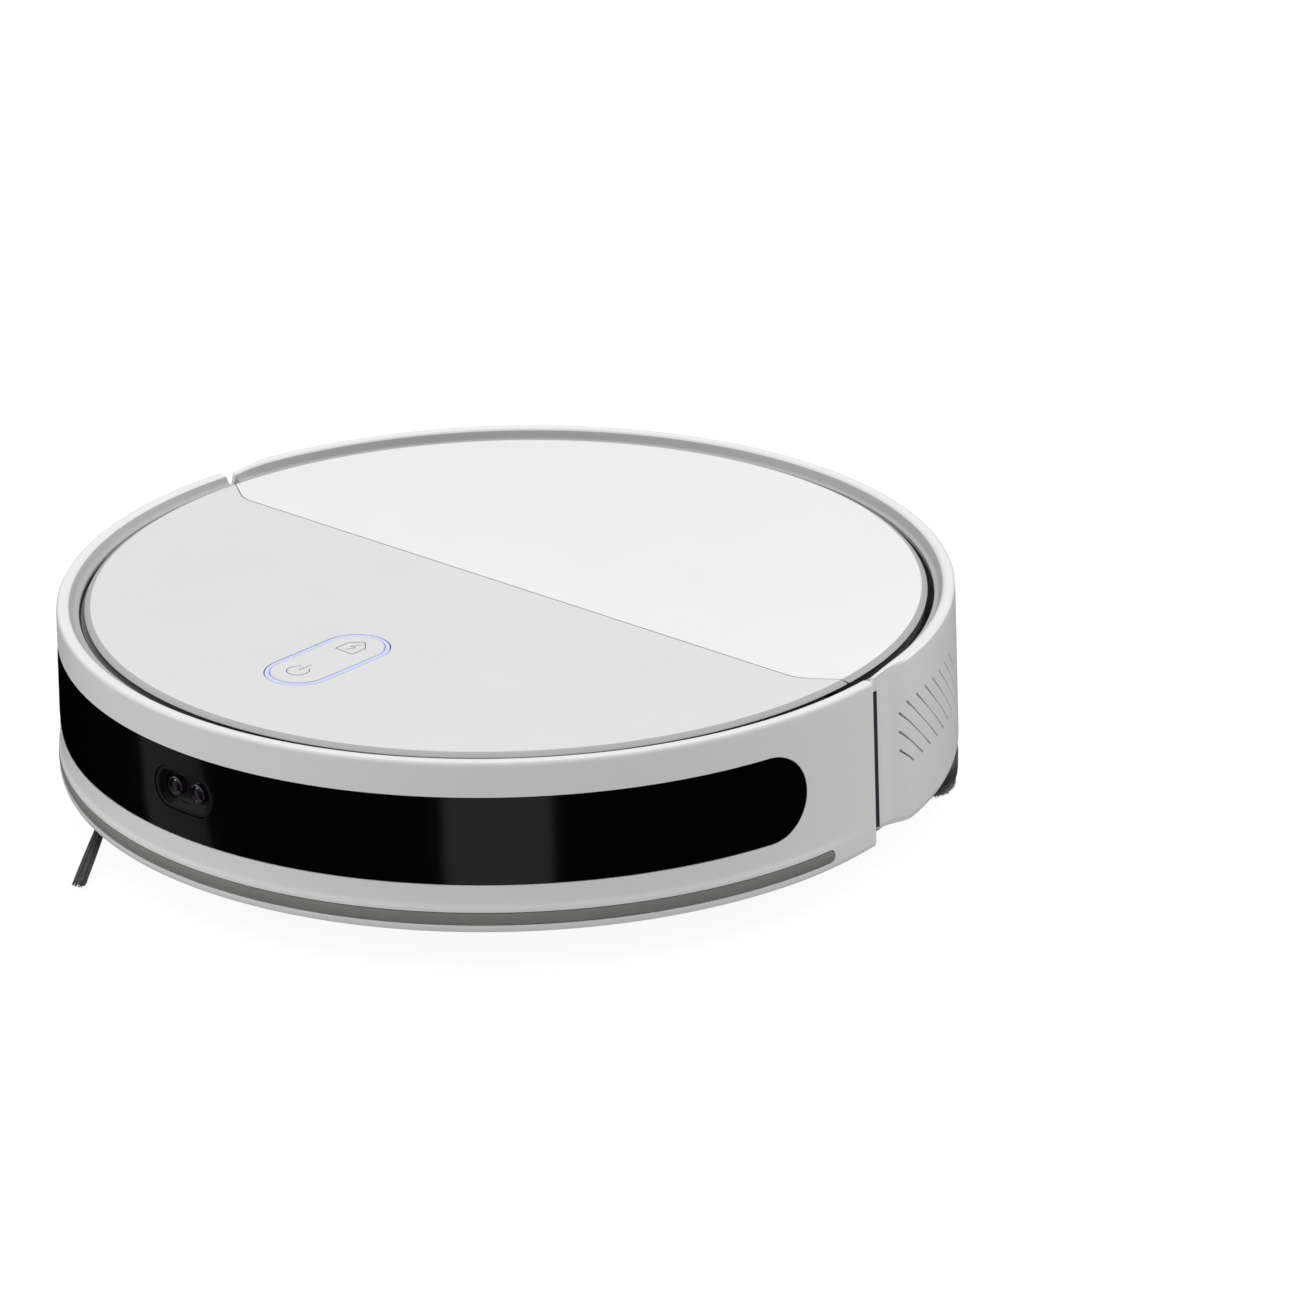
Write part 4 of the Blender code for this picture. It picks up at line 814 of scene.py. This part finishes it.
for name in ("battery_door_screw_left", "battery_door_screw_right", "side_brush_screw"):
    lo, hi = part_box(name)
    c = (lo + hi) / 2 / MM
    r = (hi.x - lo.x) / 2 / MM
    z0, z1 = lo.z / MM, hi.z / MM
    body = "side_brush" if name.startswith("side") else "chassis"
    head = turn_mesh("screw", [(0, z0 + 0.1), (r * 0.7, z0 + 0.1), (r, z0 + 0.5), (r, z1), (0, z1)], (c.x, c.y - DY, 0), "Z", 40)
    recess = [box_mesh("slot", (c.x - r * 0.62, c.y - DY - r * 0.14, z0 - 1), (c.x + r * 0.62, c.y - DY + r * 0.14, z0 + 1.0)),
              box_mesh("slot", (c.x - r * 0.14, c.y - DY - r * 0.62, z0 - 1), (c.x + r * 0.14, c.y - DY + r * 0.62, z0 + 1.0))]
    place(name + "_fine", cut(head, recess), "steel", body, name, sharp=30)

# ---------------------------------------------------------------- finishes of the CAD pieces that stay
KEPT = {
    "shell_white": "shell", "deck_grey": "deck", "lid_white": "lid", "window_black": "window", "strip_grey": "strip",
    "base_dark": "dark", "inner_grey": "inner", "tyre_black": "tyre", "bristle_dark": "bristle", "brush_rubber": "rubber",
    "cloth_dark": "cloth", "board_green": "board", "battery_wrap": "wrap", "steel": "steel", "bin_smoke": "smoke",
    "filter_white": "paper", "light_ring": "glow", "motor_grey": "motor",
}
SLOTS = {row["node"]: row.get("material_slot") for row in frame["record"].get("nodes", []) if isinstance(row, dict) and "node" in row}
for name, obj in NODES.items():
    found = None
    for old in obj.data.materials:
        key = (old.name.split(".")[0] if old else "")
        found = KEPT.get(key) or found
    found = found or KEPT.get(SLOTS.get(name) or "") or "inner"
    if obj.material_slots:
        for s in obj.material_slots:
            s.link = "OBJECT"
            s.material = M[found]
    else:
        obj.data.materials.append(M[found])

# ---------------------------------------------------------------- floor, light and camera
def backdrop_material():
    made = bpy.data.materials.new("backdrop_finish")
    made.use_nodes = True
    tree = made.node_tree
    for old in list(tree.nodes):
        tree.nodes.remove(old)
    out = node(tree, "ShaderNodeOutputMaterial", 600, 0)
    add = node(tree, "ShaderNodeAddShader", 400, 0)
    glow = node(tree, "ShaderNodeEmission", 150, 120)
    rays = node(tree, "ShaderNodeLightPath", -250, 320)
    level = node(tree, "ShaderNodeMapRange", -40, 260)
    level.inputs["To Min"].default_value = 0.46
    level.inputs["To Max"].default_value = 0.93
    tree.links.new(rays.outputs["Is Camera Ray"], level.inputs["Value"])
    tree.links.new(level.outputs["Result"], glow.inputs["Strength"])
    flat = node(tree, "ShaderNodeBsdfDiffuse", 150, -80)
    grain = node(tree, "ShaderNodeTexNoise", -500, 0)
    grain.inputs["Scale"].default_value = 60.0
    ramp = node(tree, "ShaderNodeValToRGB", -250, 0)
    ramp.color_ramp.elements[0].color = (0.135, 0.135, 0.135, 1)
    ramp.color_ramp.elements[1].color = (0.145, 0.145, 0.145, 1)
    coord = node(tree, "ShaderNodeTexCoord", -700, 0)
    tree.links.new(coord.outputs["Object"], grain.inputs["Vector"])
    tree.links.new(grain.outputs["Fac"], ramp.inputs["Fac"])
    tree.links.new(ramp.outputs["Color"], flat.inputs["Color"])
    tree.links.new(glow.outputs["Emission"], add.inputs[0])
    tree.links.new(flat.outputs["BSDF"], add.inputs[1])
    # Seen from below the floor lets the view through, so that the underside shows.
    geometry = node(tree, "ShaderNodeNewGeometry", 200, 320)
    clear = node(tree, "ShaderNodeBsdfTransparent", 200, -220)
    mixed = node(tree, "ShaderNodeMixShader", 500, 0)
    tree.links.new(geometry.outputs["Backfacing"], mixed.inputs["Fac"])
    tree.links.new(add.outputs["Shader"], mixed.inputs[1])
    tree.links.new(clear.outputs["BSDF"], mixed.inputs[2])
    tree.links.new(mixed.outputs["Shader"], out.inputs["Surface"])
    return made


bm = bmesh.new()
bmesh.ops.create_grid(bm, x_segments=2, y_segments=2, size=8.0)
floor_mesh = bpy.data.meshes.new("floor")
bm.to_mesh(floor_mesh)
bm.free()
floor = bpy.data.objects.new("floor", floor_mesh)
bpy.context.scene.collection.objects.link(floor)
floor.location.z = -0.0002
floor_mesh.materials.append(backdrop_material())
floor.visible_glossy = False

scene = bpy.context.scene
scene.view_settings.view_transform = "Standard"
scene.view_settings.look = "None"
world = bpy.data.worlds.new("studio")
scene.world = world
world.use_nodes = True
tree = world.node_tree
for old in list(tree.nodes):
    tree.nodes.remove(old)
out = node(tree, "ShaderNodeOutputWorld", 900, 0)
paths_node = node(tree, "ShaderNodeLightPath", 0, 300)
coord = node(tree, "ShaderNodeTexCoord", -900, 0)
split = node(tree, "ShaderNodeSeparateXYZ", -700, 0)
tree.links.new(coord.outputs["Generated"], split.inputs["Vector"])
height = node(tree, "ShaderNodeMath", -500, 100, operation="MAXIMUM")
height.inputs[1].default_value = 0.0
tree.links.new(split.outputs["Z"], height.inputs[0])
square = node(tree, "ShaderNodeMath", -320, 100, operation="POWER")
square.inputs[1].default_value = 1.6
tree.links.new(height.outputs[0], square.inputs[0])
toward = node(tree, "ShaderNodeVectorMath", -500, -160, operation="DOT_PRODUCT")
toward.inputs[1].default_value = (0.669, -0.743, 0.0)
tree.links.new(coord.outputs["Generated"], toward.inputs[0])
side = node(tree, "ShaderNodeMapRange", -320, -160)
side.inputs["From Min"].default_value = -1.0
side.inputs["From Max"].default_value = 1.0
side.inputs["To Min"].default_value = 1.25
side.inputs["To Max"].default_value = 0.75
tree.links.new(toward.outputs["Value"], side.inputs["Value"])
mult = node(tree, "ShaderNodeMath", -120, 0, operation="MULTIPLY")
tree.links.new(square.outputs[0], mult.inputs[0])
tree.links.new(side.outputs["Result"], mult.inputs[1])
gain = node(tree, "ShaderNodeMath", 60, 0, operation="MULTIPLY_ADD")
gain.inputs[1].default_value = 1.80
gain.inputs[2].default_value = 0.25
tree.links.new(mult.outputs[0], gain.inputs[0])
dome = node(tree, "ShaderNodeBackground", 300, -40)
above = node(tree, "ShaderNodeMath", 60, -180, operation="GREATER_THAN")
above.inputs[1].default_value = 0.0
tree.links.new(split.outputs["Z"], above.inputs[0])
sky = node(tree, "ShaderNodeMath", 180, -60, operation="MULTIPLY")
tree.links.new(gain.outputs[0], sky.inputs[0])
tree.links.new(above.outputs[0], sky.inputs[1])
tree.links.new(sky.outputs[0], dome.inputs["Strength"])
white = node(tree, "ShaderNodeBackground", 300, 120)
white.inputs["Color"].default_value = (1, 1, 1, 1)
mixer = node(tree, "ShaderNodeMixShader", 600, 0)
tree.links.new(paths_node.outputs["Is Camera Ray"], mixer.inputs["Fac"])
tree.links.new(dome.outputs["Background"], mixer.inputs[1])
tree.links.new(white.outputs["Background"], mixer.inputs[2])
tree.links.new(mixer.outputs["Shader"], out.inputs["Surface"])


def area(name, position, target, size, power, size_y=None):
    data = bpy.data.lights.new(name, "AREA")
    data.shape = "RECTANGLE"
    data.size, data.size_y = size, size_y or size
    data.energy = power
    lamp = bpy.data.objects.new(name, data)
    scene.collection.objects.link(lamp)
    lamp.location = position
    lamp.rotation_euler = (Vector(target) - Vector(position)).to_track_quat("-Z", "Y").to_euler()
    return lamp


camera_data = bpy.data.cameras.new("camera")
camera_data.lens, camera_data.sensor_width = 138.4615, 36.0
camera_data.clip_start, camera_data.clip_end = 0.05, 60.0
camera = bpy.data.objects.new("camera", camera_data)
scene.collection.objects.link(camera)
theta = math.radians(-1.008)
right0, up0, back = Vector((0.74316972, 0.66910296, 0.0)), Vector((-0.25811635, 0.2866887, 0.92259717)), Vector((0.6173125, -0.68564628, 0.38576477))
right = math.cos(theta) * right0 + math.sin(theta) * up0
up = -math.sin(theta) * right0 + math.cos(theta) * up0
place_at = Vector((1.15662, -1.20801 + DY * MM, 0.747155))
camera.matrix_world = Matrix(((right.x, up.x, back.x, place_at.x), (right.y, up.y, back.y, place_at.y), (right.z, up.z, back.z, place_at.z), (0, 0, 0, 1)))
scene.camera = camera

# left key: a tall soft panel beyond the robot's right, and a square fill panel from behind on the other side
area("key_left", (-1.6, -1.5, 0.9), (0, 0, 0.04), 0.9, 9.0, 1.2)
area("fill_right", (0.75, 1.95, 0.7), (0, 0, 0.04), 1.0, 11.0, 1.0)

# two tall dim panels that show only as soft grey bands in the glossy window
for tag, azimuth, half, level in (("band_front", -50.0, 13.0, 0.32), ("band_left", -138.0, 11.0, 0.14)):
    az = math.radians(azimuth)
    reach = 2.8
    wide = 2 * reach * math.tan(math.radians(half))
    area(tag, (reach * math.cos(az), reach * math.sin(az), -1.25), (0, 0, -1.25), wide, level * math.pi * wide * 2.4, 2.4)
